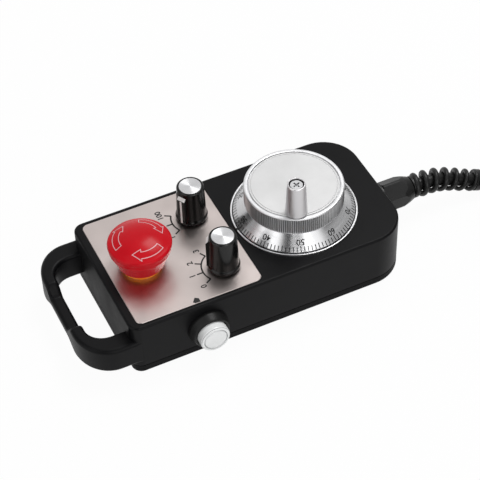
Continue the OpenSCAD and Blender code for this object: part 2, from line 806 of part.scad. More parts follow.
// White line let into the raised pointer
module selector_line(at, turn) {
    translate([at.x, at.y, knob_z]) rotate(turn)
        translate([knob_d / 2 + 0.2 - line_t + seat, -line_w / 2, line_z + seat])
            cube([line_t - seat, line_w, line_h - 2 * seat]);
}

module rate_switch() {
    color([0.2, 0.25, 0.4]) selector_switch(rate_at);
}

module rate_nut() {
    color([0.6, 0.6, 0.62]) selector_nut(rate_at);
}

module rate_shaft() {
    color([0.72, 0.72, 0.74]) selector_shaft(rate_at);
}

module rate_knob() {
    color([0.1, 0.1, 0.1]) selector_knob(rate_at, rate_turn);
}

module rate_cap() {
    color([0.8, 0.8, 0.81]) selector_cap(rate_at);
}

module rate_pointer() {
    color([0.95, 0.95, 0.93]) selector_line(rate_at, rate_turn);
}

module axis_switch() {
    color([0.2, 0.25, 0.4]) selector_switch(axis_at);
}

module axis_nut() {
    color([0.6, 0.6, 0.62]) selector_nut(axis_at);
}

module axis_shaft() {
    color([0.72, 0.72, 0.74]) selector_shaft(axis_at);
}

module axis_knob() {
    color([0.1, 0.1, 0.1]) selector_knob(axis_at, axis_turn);
}

module axis_cap() {
    color([0.8, 0.8, 0.81]) selector_cap(axis_at);
}

module axis_pointer() {
    color([0.95, 0.95, 0.93]) selector_line(axis_at, axis_turn);
}

// Circuit board that joins the pins of both switches
module selector_board() {
    color([0.08, 0.3, 0.16]) translate([rate_at.x, control_y, selector_board_z + board_t / 2])
        cube([switch_w + 1, 2 * selector_y + switch_w, board_t], center = true);
}

// ---- enable button ----

module enable_bezel() {
    front_r = bezel_d / 2 - 1;
    color([0.13, 0.13, 0.13]) at_enable() difference() {
        union() {
            rotate_extrude() polygon([[0, 0], [bezel_d / 2, 0], [bezel_d / 2, 1.2],
                [front_r, 2], [front_r, bezel_out - 0.6], [front_r - 0.6, bezel_out], [0, bezel_out]]);
            translate([0, 0, -barrel_l]) cylinder(r = barrel_r, h = barrel_l + 0.1);
        }
        cylinder(r = button_d / 2 + slip, h = bezel_out + 1);
        translate([0, 0, -barrel_l - 1]) cylinder(r = barrel_bore, h = barrel_l + 2);
    }
}

module enable_nut() {
    color([0.55, 0.55, 0.57]) at_enable() translate([0, 0, -wall - nut_h]) difference() {
        tube(barrel_r + 1, barrel_r + seat, nut_h);
        for (turn = [0:90:270]) rotate(turn + 45) translate([barrel_r + 1, 0, 1])
            cube([1, 2, 2.1], center = true);
    }
}

module enable_block() {
    color([0.2, 0.22, 0.24]) at_enable() translate([0, 0, -barrel_l - enable_block_l]) difference() {
        translate([-7, -7, 0]) cube([14, 14, enable_block_l]);
        translate([0, 0, 2]) cylinder(r = plunger_r + 0.5, h = enable_block_l);
        for (x = [-5, 5]) translate([x, -4, -0.1]) cylinder(r = 1, h = 1);
    }
}

// Plunger with the guide collar that slides in the barrel
module enable_plunger() {
    color([0.85, 0.85, 0.83]) at_enable() {
        translate([0, 0, plunger_low]) cylinder(r = plunger_r, h = cap_low - plunger_low);
        translate([0, 0, -4]) cylinder(r = barrel_bore - slip, h = 2);
    }
}

module enable_spring() {
    color([0.7, 0.7, 0.7]) at_enable() translate([0, 0, -barrel_l - enable_block_l + 2 + seat])
        spring(plunger_r - 0.4, 0.3, 3, plunger_low + barrel_l + enable_block_l - 2 - 2 * seat);
}

module enable_cap() {
    r = button_d / 2;
    top = bezel_out + button_out;
    color([0.88, 0.9, 0.88]) at_enable() rotate_extrude() polygon([[0, cap_low], [r, cap_low],
        [r, top - 0.5], [r - 0.5, top], [r - 1.6, top], [r - 2, top - 0.3], [0, top - 0.3]]);
}

// ---- cable gland and spiral strain relief ----

// Threaded body through the cable end's wall, with its collar outside
module gland_body() {
    color([0.16, 0.16, 0.16]) at_gland() difference() {
        union() {
            translate([0, 0, -gland_in]) cylinder(r = gland_r, h = gland_in + gland_collar + 7);
            cylinder(r = gland_r + 1.6, h = gland_collar);
        }
        translate([0, 0, -gland_in - 1]) cylinder(r = cable_r + slip, h = gland_in + gland_collar + 9);
    }
}

module gland_locknut() {
    color([0.5, 0.5, 0.52]) at_gland() translate([0, 0, -wall - nut_h]) difference() {
        cylinder(r = gland_r + 2.8, h = nut_h, $fn = 6);
        translate([0, 0, -1]) cylinder(r = gland_r + seat, h = nut_h + 2);
    }
}

// Rubber sleeve squeezed round the cable
module gland_seal() {
    color([0.1, 0.1, 0.1]) at_gland() translate([0, 0, gland_collar + 7])
        tube(gland_r - 1, cable_r + slip, gland_nut_l - 8.5);
}

// Domed nut with six flats that closes the gland
module gland_nut() {
    corner_r = gland_flats / 2 / cos(30);
    dome_r = cable_r + 1.6;
    color([0.17, 0.17, 0.17]) at_gland() translate([0, 0, gland_collar + air]) difference() {
        intersection() {
            cylinder(r = corner_r, h = gland_nut_l, $fn = 6);
            rotate_extrude() polygon([[0, 0], [corner_r - 1, 0], [corner_r - 0.4, 0.6],
                [corner_r - 0.4, 0.6 * gland_nut_l], [corner_r - 1.2, 0.8 * gland_nut_l],
                [dome_r + 1, gland_nut_l - 0.4], [dome_r, gland_nut_l], [0, gland_nut_l]]);
        }
        translate([0, 0, -1]) cylinder(r = gland_r + seat, h = 8);
        translate([0, 0, 6.6]) cylinder(r = gland_r - 1 + seat, h = gland_nut_l - 8.1);
        cylinder(r = cable_r + 0.1, h = gland_nut_l + 1);
    }
}

// The cable's centreline: it leaves the gland, sinks to the floor and runs into the coil
route = [[36, 0, 15], [50, 0, 15], [64, 0, 15], [70, 0, 15.05], [76, -0.1, 14.6], [82, -0.4, 13.2],
    [88, -1.1, 11.1], [94, -2.2, 8.9], [100, -3.1, 7], [106, -4, 5.2], [114, -4.9, 3.8],
    [122, -5.4, 3.35], [132, -6.3, 3.3], [142.6, -8.8, 3.3]];

// The cable's free end, from the top of the coil to where its cores come out
tail = [[146.5, -82.9, 16.3], [136, -85.5, 17.6], [126.5, -86.6, 18.6], [117.5, -87.6, 17.4],
    [109.5, -88.3, 14], [102, -88.8, 9.6], [94.5, -89.1, 5.6], [84, -89.2, 3.3]];

coil_at = [132.5, -46.5];
coil_mean_r = 32.5;
coil_turns = 3;         // turns side by side, and layers on each other

// A smooth curve through the points of a list, at the place t counted in points
function along(list, t) = let (n = len(list) - 1, i = min(floor(t), n - 1), f = t - i,
    a = i == 0 ? 2 * list[0] - list[1] : list[i - 1], b = list[i], c = list[i + 1],
    d = i == n - 1 ? 2 * list[n] - list[n - 1] : list[i + 2])
    (2 * b + (c - a) * f + (2 * a - 5 * b + 4 * c - d) * f * f + (3 * b - a - 3 * c + d) * f * f * f) / 2;
function heading(list, t) = let (n = len(list) - 1)
    unit(along(list, min(t + 0.05, n)) - along(list, max(t - 0.05, 0)));
function across(list, t) = unit(cross(heading(list, t), [0, 0, 1]));
function upward(list, t) = cross(across(list, t), heading(list, t));

module hose(list, r, per_point) {
    n = len(list) - 1;
    skin([for (k = [0:n * per_point]) let (t = k / per_point)
        [for (a = [0:30:330]) along(list, t) + r * (cos(a) * across(list, t) + sin(a) * upward(list, t))]]);
}

// Moulded spiral round the cable, thinner towards its end, between two collars
module strain_relief() {
    steps = 14;
    last = round(relief_turns * steps);
    inner_r = cable_r + 0.2;
    color([0.14, 0.14, 0.14]) {
        skin([for (k = [0:last]) let (f = k / last, t = relief_first + (relief_last - relief_first) * f,
                a = 360 * k / steps, out = cos(a) * across(route, t) + sin(a) * upward(route, t),
                thick = (relief_from_r + (relief_to_r - relief_from_r) * f - inner_r) / 2)
            [for (b = [0:45:315]) along(route, t) + (inner_r + thick + thick * sin(b)) * out
                + 1.4 * cos(b) * heading(route, t)]]);
        for (c = [[relief_first, relief_from_r - 0.9, 1.1], [relief_last, relief_to_r - 0.1, 1.6]])
            relief_collar(c[0], c[1], c[2]);
    }
}

// One collar of the strain relief round the cable at the place t, r wide and 2 * half long
module relief_collar(t, r, half) {
    low = cable_r + 0.2;
    at = along(route, t);
    x = upward(route, t);
    y = across(route, t);
    z = heading(route, t);
    multmatrix([[x.x, y.x, z.x, at.x], [x.y, y.y, z.y, at.y], [x.z, y.z, z.z, at.z]])
        rotate_extrude() polygon([[low, -half], [r - 0.5, -half], [r, 0.5 - half], [r, half - 0.5],
            [r - 0.5, half], [low, half]]);
}

module cable() {
    color([0.11, 0.11, 0.11]) {
        hose(route, cable_r, 2);
        hose(tail, cable_r, 1);
    }
}

// Outer shape of the wound part of the cable
module cable_coil() {
    side = coil_turns * cable_d;
    color([0.11, 0.11, 0.11]) translate([coil_at.x, coil_at.y, 0]) rotate_extrude()
        translate([coil_mean_r - side / 2, 0]) {
            translate([0, cable_r]) square([side, side - cable_d]);
            translate([cable_r, 0]) square([side - cable_d, side]);
            for (x = [cable_r, side - cable_r], z = [cable_r, side - cable_r])
                translate([x, z]) circle(cable_r);
        }
}

// Strap that holds the wound turns together
module coil_tie() {
    side = coil_turns * cable_d;
    color([0.2, 0.2, 0.2]) translate([coil_at.x, coil_at.y, 0]) rotate(tie_turn)
        translate([coil_mean_r, 0, (side + tie_t) / 2]) difference() {
            cube([side + 2 * tie_t, tie_w, side + tie_t], center = true);
            translate([0, 0, -tie_t / 2])
                cube([side, tie_w + 1, side - 2 * tie_t], center = true);
        }
}

// Insulated cores that come out of the cable's free end
module cable_leads() {
    end = tail[len(tail) - 1];
    color([0.6, 0.6, 0.58]) for (k = [0:5]) translate([end.x, end.y, end.z])
        rotate([0, 0, 180 + 5 * (k - 2.5)]) translate([0, 0.62 * (k - 2.5), k % 2 == 0 ? -0.5 : 0.9])
            rotate([0, 90 + (k % 2 == 0 ? 2 : 3), 0]) {
                cylinder(r = core_r, h = core_l, $fn = 12);
                cylinder(r = core_r / 2, h = core_l + core_tip, $fn = 8);
            }
}

upper_housing();
bottom_cover();
cover_screws();
panel_plate();
encoder_case();
encoder_back();
encoder_ring_nut();
upper_bearing();
lower_bearing();
encoder_board();
encoder_sensor();
encoder_terminals();
encoder_shaft();
code_disc();
graduated_dial();
wheel_knob();
wheel_face();
wheel_screw();
spinner_screw();
spinner_grip();
stop_bush();
stop_collar();
stop_nut();
stop_contact_block();
stop_stem();
stop_spring();
stop_head();
rate_switch();
rate_nut();
rate_shaft();
rate_knob();
rate_cap();
rate_pointer();
axis_switch();
axis_nut();
axis_shaft();
axis_knob();
axis_cap();
axis_pointer();
selector_board();
enable_bezel();
enable_nut();
enable_block();
enable_plunger();
enable_spring();
enable_cap();
gland_body();
gland_locknut();
gland_seal();
gland_nut();
strain_relief();
cable();
cable_coil();
coil_tie();
cable_leads();
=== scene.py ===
from functools import partial
from math import asin, atan2, cos, degrees, hypot, pi, radians, sin, sqrt

import bmesh
import bpy
from mathutils import Matrix, Vector


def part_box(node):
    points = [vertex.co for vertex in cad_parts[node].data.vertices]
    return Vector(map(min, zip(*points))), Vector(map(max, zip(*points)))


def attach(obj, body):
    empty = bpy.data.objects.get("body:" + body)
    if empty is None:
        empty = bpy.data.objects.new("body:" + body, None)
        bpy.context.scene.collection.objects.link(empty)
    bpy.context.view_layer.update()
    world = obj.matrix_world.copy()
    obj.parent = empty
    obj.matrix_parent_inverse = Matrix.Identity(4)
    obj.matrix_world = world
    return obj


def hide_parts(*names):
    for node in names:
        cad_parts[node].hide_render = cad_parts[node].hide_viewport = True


# Looks of a handheld control box with a graduated handwheel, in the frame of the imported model.
# Forms are drawn in millimetres; makePiece and addCurve turn them into metres.

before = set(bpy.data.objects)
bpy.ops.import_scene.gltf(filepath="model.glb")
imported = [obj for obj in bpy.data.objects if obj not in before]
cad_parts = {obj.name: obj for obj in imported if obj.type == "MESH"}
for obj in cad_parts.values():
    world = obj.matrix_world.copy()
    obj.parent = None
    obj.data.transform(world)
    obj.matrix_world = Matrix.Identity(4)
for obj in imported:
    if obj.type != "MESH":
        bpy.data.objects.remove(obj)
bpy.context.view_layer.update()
scene = bpy.context.scene
mm = 0.001
upward = Vector((0, 0, 1))

print("stage: camera")

cameraView = {
    "azimuth": -23.99,       # degrees, 0 looks along +Y
    "elevation": 46.47,
    "roll": -2.07,
    "lens": 127.4,
    "sensor": 36,
    "place": (-0.2515, -0.5027, 0.6007),    # metres
    "nearest": 0.01,
}


def addCamera():
    azimuth, elevation, roll = (radians(cameraView[k]) for k in ("azimuth", "elevation", "roll"))
    data = bpy.data.cameras.new("camera")
    data.lens = cameraView["lens"]
    data.sensor_width = cameraView["sensor"]
    data.clip_start = cameraView["nearest"]
    camera = bpy.data.objects.new("camera", data)
    tilt = Matrix.Rotation(pi / 2 - elevation, 4, "X") @ Matrix.Rotation(roll, 4, "Z")
    camera.matrix_world = Matrix.Translation(cameraView["place"]) @ Matrix.Rotation(azimuth, 4, "Z") @ tilt
    scene.collection.objects.link(camera)
    scene.camera = camera


addCamera()

print("stage: materials")


def addNode(nodes, kind, values=None, **settings):
    # A new shader node with some settings of its own and the values of some of its sockets
    node = nodes.new("ShaderNode" + kind)
    for name, value in settings.items():
        setattr(node, name, value)
    for socket, value in (values or {}).items():
        node.inputs[socket].default_value = value
    return node


def shaderTools(tree):
    # What builds a shader: a call for a new node and one for a link
    return partial(addNode, tree.nodes), tree.links.new


def newMaterial(name, color, roughness, metallic=0.0, **extra):
    material = bpy.data.materials.new(name)
    material.use_nodes = True
    shader = material.node_tree.nodes["Principled BSDF"]
    values = {"Base Color": (*color, 1), "Roughness": roughness, "Metallic": metallic, **extra}
    for socket, value in values.items():
        shader.inputs[socket.replace("_", " ")].default_value = value
    return material


def newGroup(name, **inputs):
    group = bpy.data.node_groups.new(name, "ShaderNodeTree")
    for label, kind in inputs.items():
        group.interface.new_socket(label, in_out="INPUT", socket_type="NodeSocket" + kind)
    for label in ("Height", "Mask"):
        group.interface.new_socket(label, in_out="OUTPUT", socket_type="NodeSocketFloat")
    return group, group.nodes.new("NodeGroupInput"), group.nodes.new("NodeGroupOutput")


def buildGrain():
    # Fine moulded grain: a height for Bump and a slowly changing mask for roughness and colour
    group, given, result = newGroup("mouldedGrain", Scale="Float")
    add, link = shaderTools(group)
    place = add("TexCoord")
    grain = add("TexNoise", {"Detail": 3})
    patch = add("TexNoise", {"Scale": 60, "Detail": 4, "Roughness": 0.65})
    link(given.outputs["Scale"], grain.inputs["Scale"])
    for noise, label in ((grain, "Height"), (patch, "Mask")):
        link(place.outputs["Object"], noise.inputs["Vector"])
        link(noise.outputs["Fac"], result.inputs[label])
    return group


def buildStreaks():
    # Streaks of turned or brushed metal, drawn out along the second axis of the given vector
    group, given, result = newGroup("metalStreaks", Vector="Vector", Across="Float", Along="Float")
    add, link = shaderTools(group)
    stretch = add("CombineXYZ")
    scaled = add("VectorMath", operation="MULTIPLY")
    streak = add("TexNoise", {"Scale": 1, "Detail": 2})
    for axis, label in (("X", "Across"), ("Y", "Along"), ("Z", "Along")):
        link(given.outputs[label], stretch.inputs[axis])
    link(given.outputs["Vector"], scaled.inputs[0])
    link(stretch.outputs["Vector"], scaled.inputs[1])
    link(scaled.outputs["Vector"], streak.inputs["Vector"])
    for label in ("Height", "Mask"):
        link(streak.outputs["Fac"], result.inputs[label])
    return group


grainGroup = buildGrain()
streakGroup = buildStreaks()


def addTexture(material, group, color, shades, roughness, bumpStrength, bumpDistance):
    # Colour and roughness follow the group's mask, and the surface follows its height
    add, link = shaderTools(material.node_tree)
    shader = material.node_tree.nodes["Principled BSDF"]
    dark, light = ((*[min(1, c * shade) for c in color], 1) for shade in shades)
    tint = add("Mix", data_type="RGBA")
    tint.inputs[6].default_value, tint.inputs[7].default_value = dark, light
    spread = add("MapRange", {"From Min": 0.3, "From Max": 0.7, "To Min": roughness[0],
                              "To Max": roughness[1]})
    bump = add("Bump", {"Strength": bumpStrength, "Distance": bumpDistance})
    link(group.outputs["Mask"], tint.inputs[0])
    link(group.outputs["Mask"], spread.inputs["Value"])
    link(group.outputs["Height"], bump.inputs["Height"])
    link(tint.outputs[2], shader.inputs["Base Color"])
    link(spread.outputs["Result"], shader.inputs["Roughness"])
    link(bump.outputs["Normal"], shader.inputs["Normal"])


def plastic(name, color, roughness, grain=0.2, scale=2500, spread=0.06, specular=0.5, metallic=0.0):
    material = newMaterial(name, color, roughness, metallic, Specular_IOR_Level=specular)
    group = addNode(material.node_tree.nodes, "Group", node_tree=grainGroup)
    group.inputs["Scale"].default_value = scale
    addTexture(material, group, color, (0.88, 1.12), (roughness - spread, roughness + spread), grain,
               0.05 * mm)
    return material


def metal(name, color, roughness, across, along, turned=False, bump=0.08, **extra):
    # Turned metal reads the polar UV map, brushed metal the object's own axes
    material = newMaterial(name, color, roughness, 1.0, **extra)
    add, link = shaderTools(material.node_tree)
    group = add("Group", node_tree=streakGroup)
    group.inputs["Across"].default_value = across
    group.inputs["Along"].default_value = along
    link(add("TexCoord").outputs["UV" if turned else "Object"], group.inputs["Vector"])
    addTexture(material, group, color, (0.93, 1.05), (roughness - 0.04, roughness + 0.05), bump, 0.02 * mm)
    if turned:
        tangent = add("Tangent", direction_type="UV_MAP", uv_map="polar")
        link(tangent.outputs["Tangent"], material.node_tree.nodes["Principled BSDF"].inputs["Tangent"])
    return material


finish = {
    "housing": plastic("housingPlastic", (0.004, 0.004, 0.0045), 0.4, grain=0.25, specular=0.1),
    # matt plastic of the bottom cover, also used as painted shade on the end wall inside the handle's opening
    "housingMattAndShade": plastic("housingMattAndShade", (0.01, 0.01, 0.0105), 0.5, grain=0.25, specular=0.04),
    "plate": metal("plateFoil", (0.52, 0.46, 0.44), 0.32, across=60, along=60, bump=0.0),
    # black print, also used as painted shade inside the fixed ring and in the spinner's sunk hole
    "inkAndShade": plastic("blackInkAndShade", (0.008, 0.008, 0.008), 0.5, grain=0.05, specular=0.3),
    "whiteInk": plastic("whiteInk", (0.88, 0.87, 0.85), 0.4, grain=0.05),
    "arrowInk": plastic("arrowInk", (0.72, 0.42, 0.45), 0.4, grain=0.05),
    "greyInk": plastic("greyInk", (0.8, 0.79, 0.78), 0.4, grain=0.05),
    "ring": metal("ringMetal", (0.8, 0.8, 0.81), 0.35, turned=True, across=8, along=500),
    "dial": metal("dialMetal", (0.72, 0.72, 0.73), 0.24, turned=True, across=6, along=700,
                  Anisotropic=0.9, Anisotropic_Rotation=0.25),
    "rim": metal("rimMetal", (0.66, 0.66, 0.67), 0.38, across=400, along=60),
    # a darker copy of the rim metal: painted shade down in the flutes
    "fluteShade": metal("fluteShadeMetal", (0.3, 0.3, 0.3), 0.5, across=400, along=60),
    "face": plastic("satinDisc", (0.66, 0.66, 0.66), 0.45, grain=0.05, spread=0.03, metallic=0.3),
    "spinner": metal("spinnerMetal", (0.64, 0.63, 0.64), 0.4, across=300, along=60),
    "red": plastic("redPlastic", (0.58, 0.004, 0.012), 0.24, grain=0.03, spread=0.03, specular=0.14),
    "orange": plastic("orangePlastic", (1.0, 0.26, 0.005), 0.3, grain=0.05, spread=0.03),
    "knob": plastic("knobPlastic", (0.004, 0.004, 0.004), 0.2, grain=0.02, spread=0.03, specular=0.3),
    "cap": metal("spunMetal", (0.66, 0.66, 0.67), 0.28, turned=True, across=5, along=900,
                 Anisotropic=0.85, Anisotropic_Rotation=0.25),
    "bezel": plastic("bezelPlastic", (0.009, 0.009, 0.009), 0.35, grain=0.1, specular=0.2),
    "milky": plastic("milkyPlastic", (0.9, 0.92, 0.92), 0.2, grain=0.02, spread=0.03),
    # a darker grey copy of the milky plastic: painted shade in the cap's groove
    "milkyGrooveShade": plastic("milkyGrooveShade", (0.34, 0.35, 0.35), 0.4, grain=0.02),
    "rubber": plastic("blackRubber", (0.009, 0.009, 0.009), 0.38, grain=0.15, scale=1500, specular=0.3),
    "sheath": plastic("cableSheath", (0.01, 0.01, 0.01), 0.36, grain=0.1, scale=1800, specular=0.3),
    "steel": metal("plainSteel", (0.5, 0.5, 0.51), 0.35, across=500, along=80),
    "darkSteel": metal("darkSteel", (0.16, 0.16, 0.17), 0.35, across=500, along=80),
    "board": plastic("boardLacquer", (0.01, 0.09, 0.035), 0.25, grain=0.1),
    "greenTerminal": plastic("terminalPlastic", (0.03, 0.22, 0.07), 0.4),
    "switchBlue": plastic("switchPlastic", (0.02, 0.045, 0.13), 0.35),
    "discGlass": plastic("codeDisc", (0.35, 0.37, 0.4), 0.12, grain=0.02),
    "copper": metal("bareCopper", (0.85, 0.45, 0.25), 0.35, across=900, along=100),
}

cadFinish = {
    "housing": "upper_housing encoder_back encoder_sensor stop_bush stop_contact_block enable_block "
               "coil_tie",
    "housingMattAndShade": "bottom_cover",
    "darkSteel": "cover_screws",
    "plate": "panel_plate",
    "ring": "encoder_case",
    "dial": "graduated_dial",
    "rim": "wheel_knob",
    "face": "wheel_face",
    "spinner": "spinner_grip",
    "steel": "spinner_screw encoder_ring_nut upper_bearing lower_bearing encoder_shaft wheel_screw stop_nut "
             "stop_spring rate_nut rate_shaft axis_nut axis_shaft enable_nut enable_spring gland_locknut",
    "board": "encoder_board selector_board",
    "greenTerminal": "encoder_terminals",
    "discGlass": "code_disc",
    "orange": "stop_collar",
    "red": "stop_stem stop_head",
    "switchBlue": "rate_switch axis_switch",
    "knob": "rate_knob axis_knob",
    "cap": "rate_cap axis_cap",
    "whiteInk": "rate_pointer axis_pointer",
    "bezel": "enable_bezel",
    "milky": "enable_plunger enable_cap",
    "rubber": "gland_body gland_nut gland_seal strain_relief",
    "sheath": "cable cable_coil",
    "copper": "cable_leads",
}

for key, names in cadFinish.items():
    for name in names.split():
        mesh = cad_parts[name].data
        mesh.materials.clear()
        mesh.materials.append(finish[key])


def polarMap(mesh, centre):
    # u runs round the axis and v outwards, so that streaks and highlights follow the turning
    layer = mesh.uv_layers.new(name="polar")
    unit = 0.05              # metres outwards or upwards for 1 of v
    cx, cy = (c * mm for c in centre)
    for face in mesh.polygons:
        mid = atan2(face.center.y - cy, face.center.x - cx)
        for loop in face.loop_indices:
            p = mesh.vertices[mesh.loops[loop].vertex_index].co
            x, y = p.x - cx, p.y - cy
            a = atan2(y, x) if x * x + y * y > 1e-12 else mid
            a = mid + (a - mid + pi) % (2 * pi) - pi
            layer.data[loop].uv = (a / (2 * pi) + 0.5, (hypot(x, y) + p.z) / unit)


def settle(piece, body, replaced):
    # Puts a finished object into the scene, on its body and for the solids that it stands for
    scene.collection.objects.link(piece)
    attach(piece, body)
    if replaced:
        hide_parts(*replaced)
    return piece


def makePiece(name, bm, looks, body, replaced=(), sharp=35, turnedAbout=None):
    # The form in metres, with its looks (keys of finish) and, on a turned piece, its polar map
    bmesh.ops.scale(bm, vec=(mm, mm, mm), verts=bm.verts)
    bmesh.ops.remove_doubles(bm, verts=bm.verts, dist=1e-6)
    bmesh.ops.recalc_face_normals(bm, faces=bm.faces)
    mesh = bpy.data.meshes.new(name)
    bm.to_mesh(mesh)
    bm.free()
    mesh.shade_smooth()
    mesh.set_sharp_from_angle(angle=radians(sharp))
    for look in looks:
        mesh.materials.append(finish[look])
    if turnedAbout:
        polarMap(mesh, turnedAbout)
    piece = bpy.data.objects.new(name, mesh)
    piece.modifiers.new("weighted", "WEIGHTED_NORMAL").keep_sharp = True
    return settle(piece, body, replaced)


def paintWhere(bm, centre, test):
    # The second look goes on faces whose radius about the centre and height pass the test
    for face in bm.faces:
        spot = face.calc_center_median()
        face.material_index = int(test(hypot(spot.x - centre[0], spot.y - centre[1]), spot.z))


def roundedProfile(corners):
    # Corners are (radius, height) or (radius, height, rounding); a rounded one becomes a short arc
    line = []
    for i, (r, z, *bend) in enumerate(corners):
        here = Vector((r, z))
        if not bend:
            line.append(here)
            continue
        toward = (Vector(corners[i - 1][:2]) - here).normalized()
        onward = (Vector(corners[i + 1][:2]) - here).normalized()
        for k in range(5):
            f = k / 4
            a = here + toward * bend[0] * (1 - f)
            b = here + onward * bend[0] * f
            line.append(a * (1 - f) + b * f)
    return line


def lathe(corners, centre=(0, 0), steps=96, closed=False):
    bm = bmesh.new()
    verts = [bm.verts.new((p.x, 0, p.y)) for p in roundedProfile(corners)]
    edges = [bm.edges.new(pair) for pair in zip(verts, verts[1:])]
    if closed:
        edges.append(bm.edges.new((verts[-1], verts[0])))
    bmesh.ops.spin(bm, geom=verts + edges, cent=(0, 0, 0), axis=(0, 0, 1), angle=2 * pi, steps=steps,
                   use_merge=True)
    bmesh.ops.remove_doubles(bm, verts=bm.verts, dist=1e-3)
    bmesh.ops.translate(bm, verts=bm.verts, vec=(*centre, 0))
    return bm


def joinInto(bm, other):
    mesh = bpy.data.meshes.new("part")
    other.to_mesh(mesh)
    other.free()
    bm.from_mesh(mesh)
    bpy.data.meshes.remove(mesh)


def loft(bm, rings, skip=()):
    # Quads between rows of points that close on themselves; skip leaves out some sides
    rows = [[bm.verts.new(p) for p in ring] for ring in rings]
    for low, high in zip(rows, rows[1:]):
        for i in range(len(low)):
            k = (i + 1) % len(low)
            if i not in skip:
                bm.faces.new((low[i], low[k], high[k], high[i]))
    return rows


def flatWithHoles(bm, loops):
    # One flat face bounded by the first loop of points, with the others as holes
    edges = []
    for loop in loops:
        verts = [bm.verts.new(p) for p in loop]
        edges += [bm.edges.new((a, b)) for a, b in zip(verts, verts[1:] + verts[:1])]
    bmesh.ops.triangle_fill(bm, edges=edges, use_beauty=True, use_dissolve=False)


def holeWall(bm, near, depth):
    loft(bm, [near, [p + depth for p in near]])


def circle(centre, radius, x=Vector((1, 0, 0)), y=Vector((0, 1, 0)), steps=48):
    angles = [2 * pi * k / steps for k in range(steps)]
    return [Vector(centre) + (x * cos(a) + y * sin(a)) * radius for a in angles]


def polar(centre, radius, angle, z=0.0):
    a = radians(angle)
    return Vector((centre[0] + radius * cos(a), centre[1] + radius * sin(a), z))


print("stage: cable")

cable = {
    "diameter": 6.5,
    "route": [(36, 0, 15), (50, 0, 15), (64, 0, 15), (70, 0, 15.05), (76, -0.1, 14.6), (82, -0.4, 13.2),
              (88, -1.1, 11.1), (94, -2.2, 8.9), (100, -3.1, 7), (106, -4, 5.2), (114, -4.9, 3.8),
              (122, -5.4, 3.35), (132, -6.3, 3.3)],
    "tail": [(136, -85.5, 17.6), (126.5, -86.6, 18.6), (117.5, -87.6, 17.4), (109.5, -88.3, 14),
             (102, -88.8, 9.6), (94.5, -89.1, 5.6), (84, -89.2, 3.3)],
    "coilCentre": (132.5, -46.5),
    "outerTurn": 39,         # radius of the outermost turn
    "pitch": 6.5,            # from one turn to the next
    "startAngle": 75,        # degrees, where the first turn begins
    "turns": 6.4,
    # turns after which the cord moves by one pitch, and the share of a turn that this takes
    "inward": ((0.74, 0.23), (1.74, 0.23)),
    "outward": ((3.49, 0.3), (4.49, 0.3)),
    "upward": ((2.59, 0.33), (5.31, 0.4)),
    "pointsInTurn": 48,
    "length": 1.518,         # metres
}


def alongPoints(points, t):
    # Smooth curve through the points, t counted in points
    last = len(points) - 1
    i = min(int(t), last - 1)
    f = t - i
    p = [Vector(q) for q in points]
    a = 2 * p[0] - p[1] if i == 0 else p[i - 1]
    d = 2 * p[last] - p[last - 1] if i == last - 1 else p[i + 2]
    b, c = p[i], p[i + 1]
    return (2 * b + (c - a) * f + (2 * a - 5 * b + 4 * c - d) * f ** 2 + (3 * b - a - 3 * c + d) * f ** 3) / 2


def ease(t):
    t = max(0.0, min(1.0, t))
    return t * t * (3 - 2 * t)


def coilPoint(n):
    # Turns run inwards on the floor, outwards on top of them and once more round above those
    inward, outward, higher = (sum(ease((n - start) / share) for start, share in cable[way])
                               for way in ("inward", "outward", "upward"))
    r = cable["outerTurn"] - cable["pitch"] * (inward - outward)
    z = cable["diameter"] / 2 + cable["pitch"] * higher
    return polar(cable["coilCentre"], r, cable["startAngle"] - 360 * n, z)


cableRoute = cable["route"] + [coilPoint(0)]


def cablePath():
    tail = [coilPoint(cable["turns"])] + cable["tail"]
    path = [alongPoints(cableRoute, k / 4) for k in range(4 * (len(cableRoute) - 1))]
    path += [coilPoint(k / cable["pointsInTurn"]) for k in range(int(cable["pointsInTurn"] * cable["turns"]))]
    path += [alongPoints(tail, k / 4) for k in range(4 * (len(tail) - 1) + 1)]
    return path


def addCurve(name, points, radii, look, replaced, sides=6):
    data = bpy.data.curves.new(name, "CURVE")
    data.dimensions = "3D"
    data.bevel_depth = 1.0
    data.bevel_resolution = sides
    data.use_fill_caps = True
    spline = data.splines.new("POLY")
    spline.points.add(len(points) - 1)
    for point, place, radius in zip(spline.points, points, radii):
        point.co = (*(place * mm), 1)
        point.radius = radius * mm
    spline.use_smooth = True
    data.materials.append(finish[look])
    return settle(bpy.data.objects.new(name, data), "housing", replaced)


path = cablePath()
cord = addCurve("cableCord", path, [cable["diameter"] / 2] * len(path), "sheath",
                ["cable", "cable_coil"])

relief = {
    "turns": 6.5,
    "first": 2.15,           # places along the route
    "last": 8.0,
    "fromRadius": 6.5,
    "toRadius": 5.45,
    "gap": 0.2,
    "steps": 40,             # a turn
}


def routeFrame(t):
    ahead = (alongPoints(cableRoute, t + 0.05) - alongPoints(cableRoute, t - 0.05)).normalized()
    across = ahead.cross(upward).normalized()
    return alongPoints(cableRoute, t), ahead, across, across.cross(ahead)


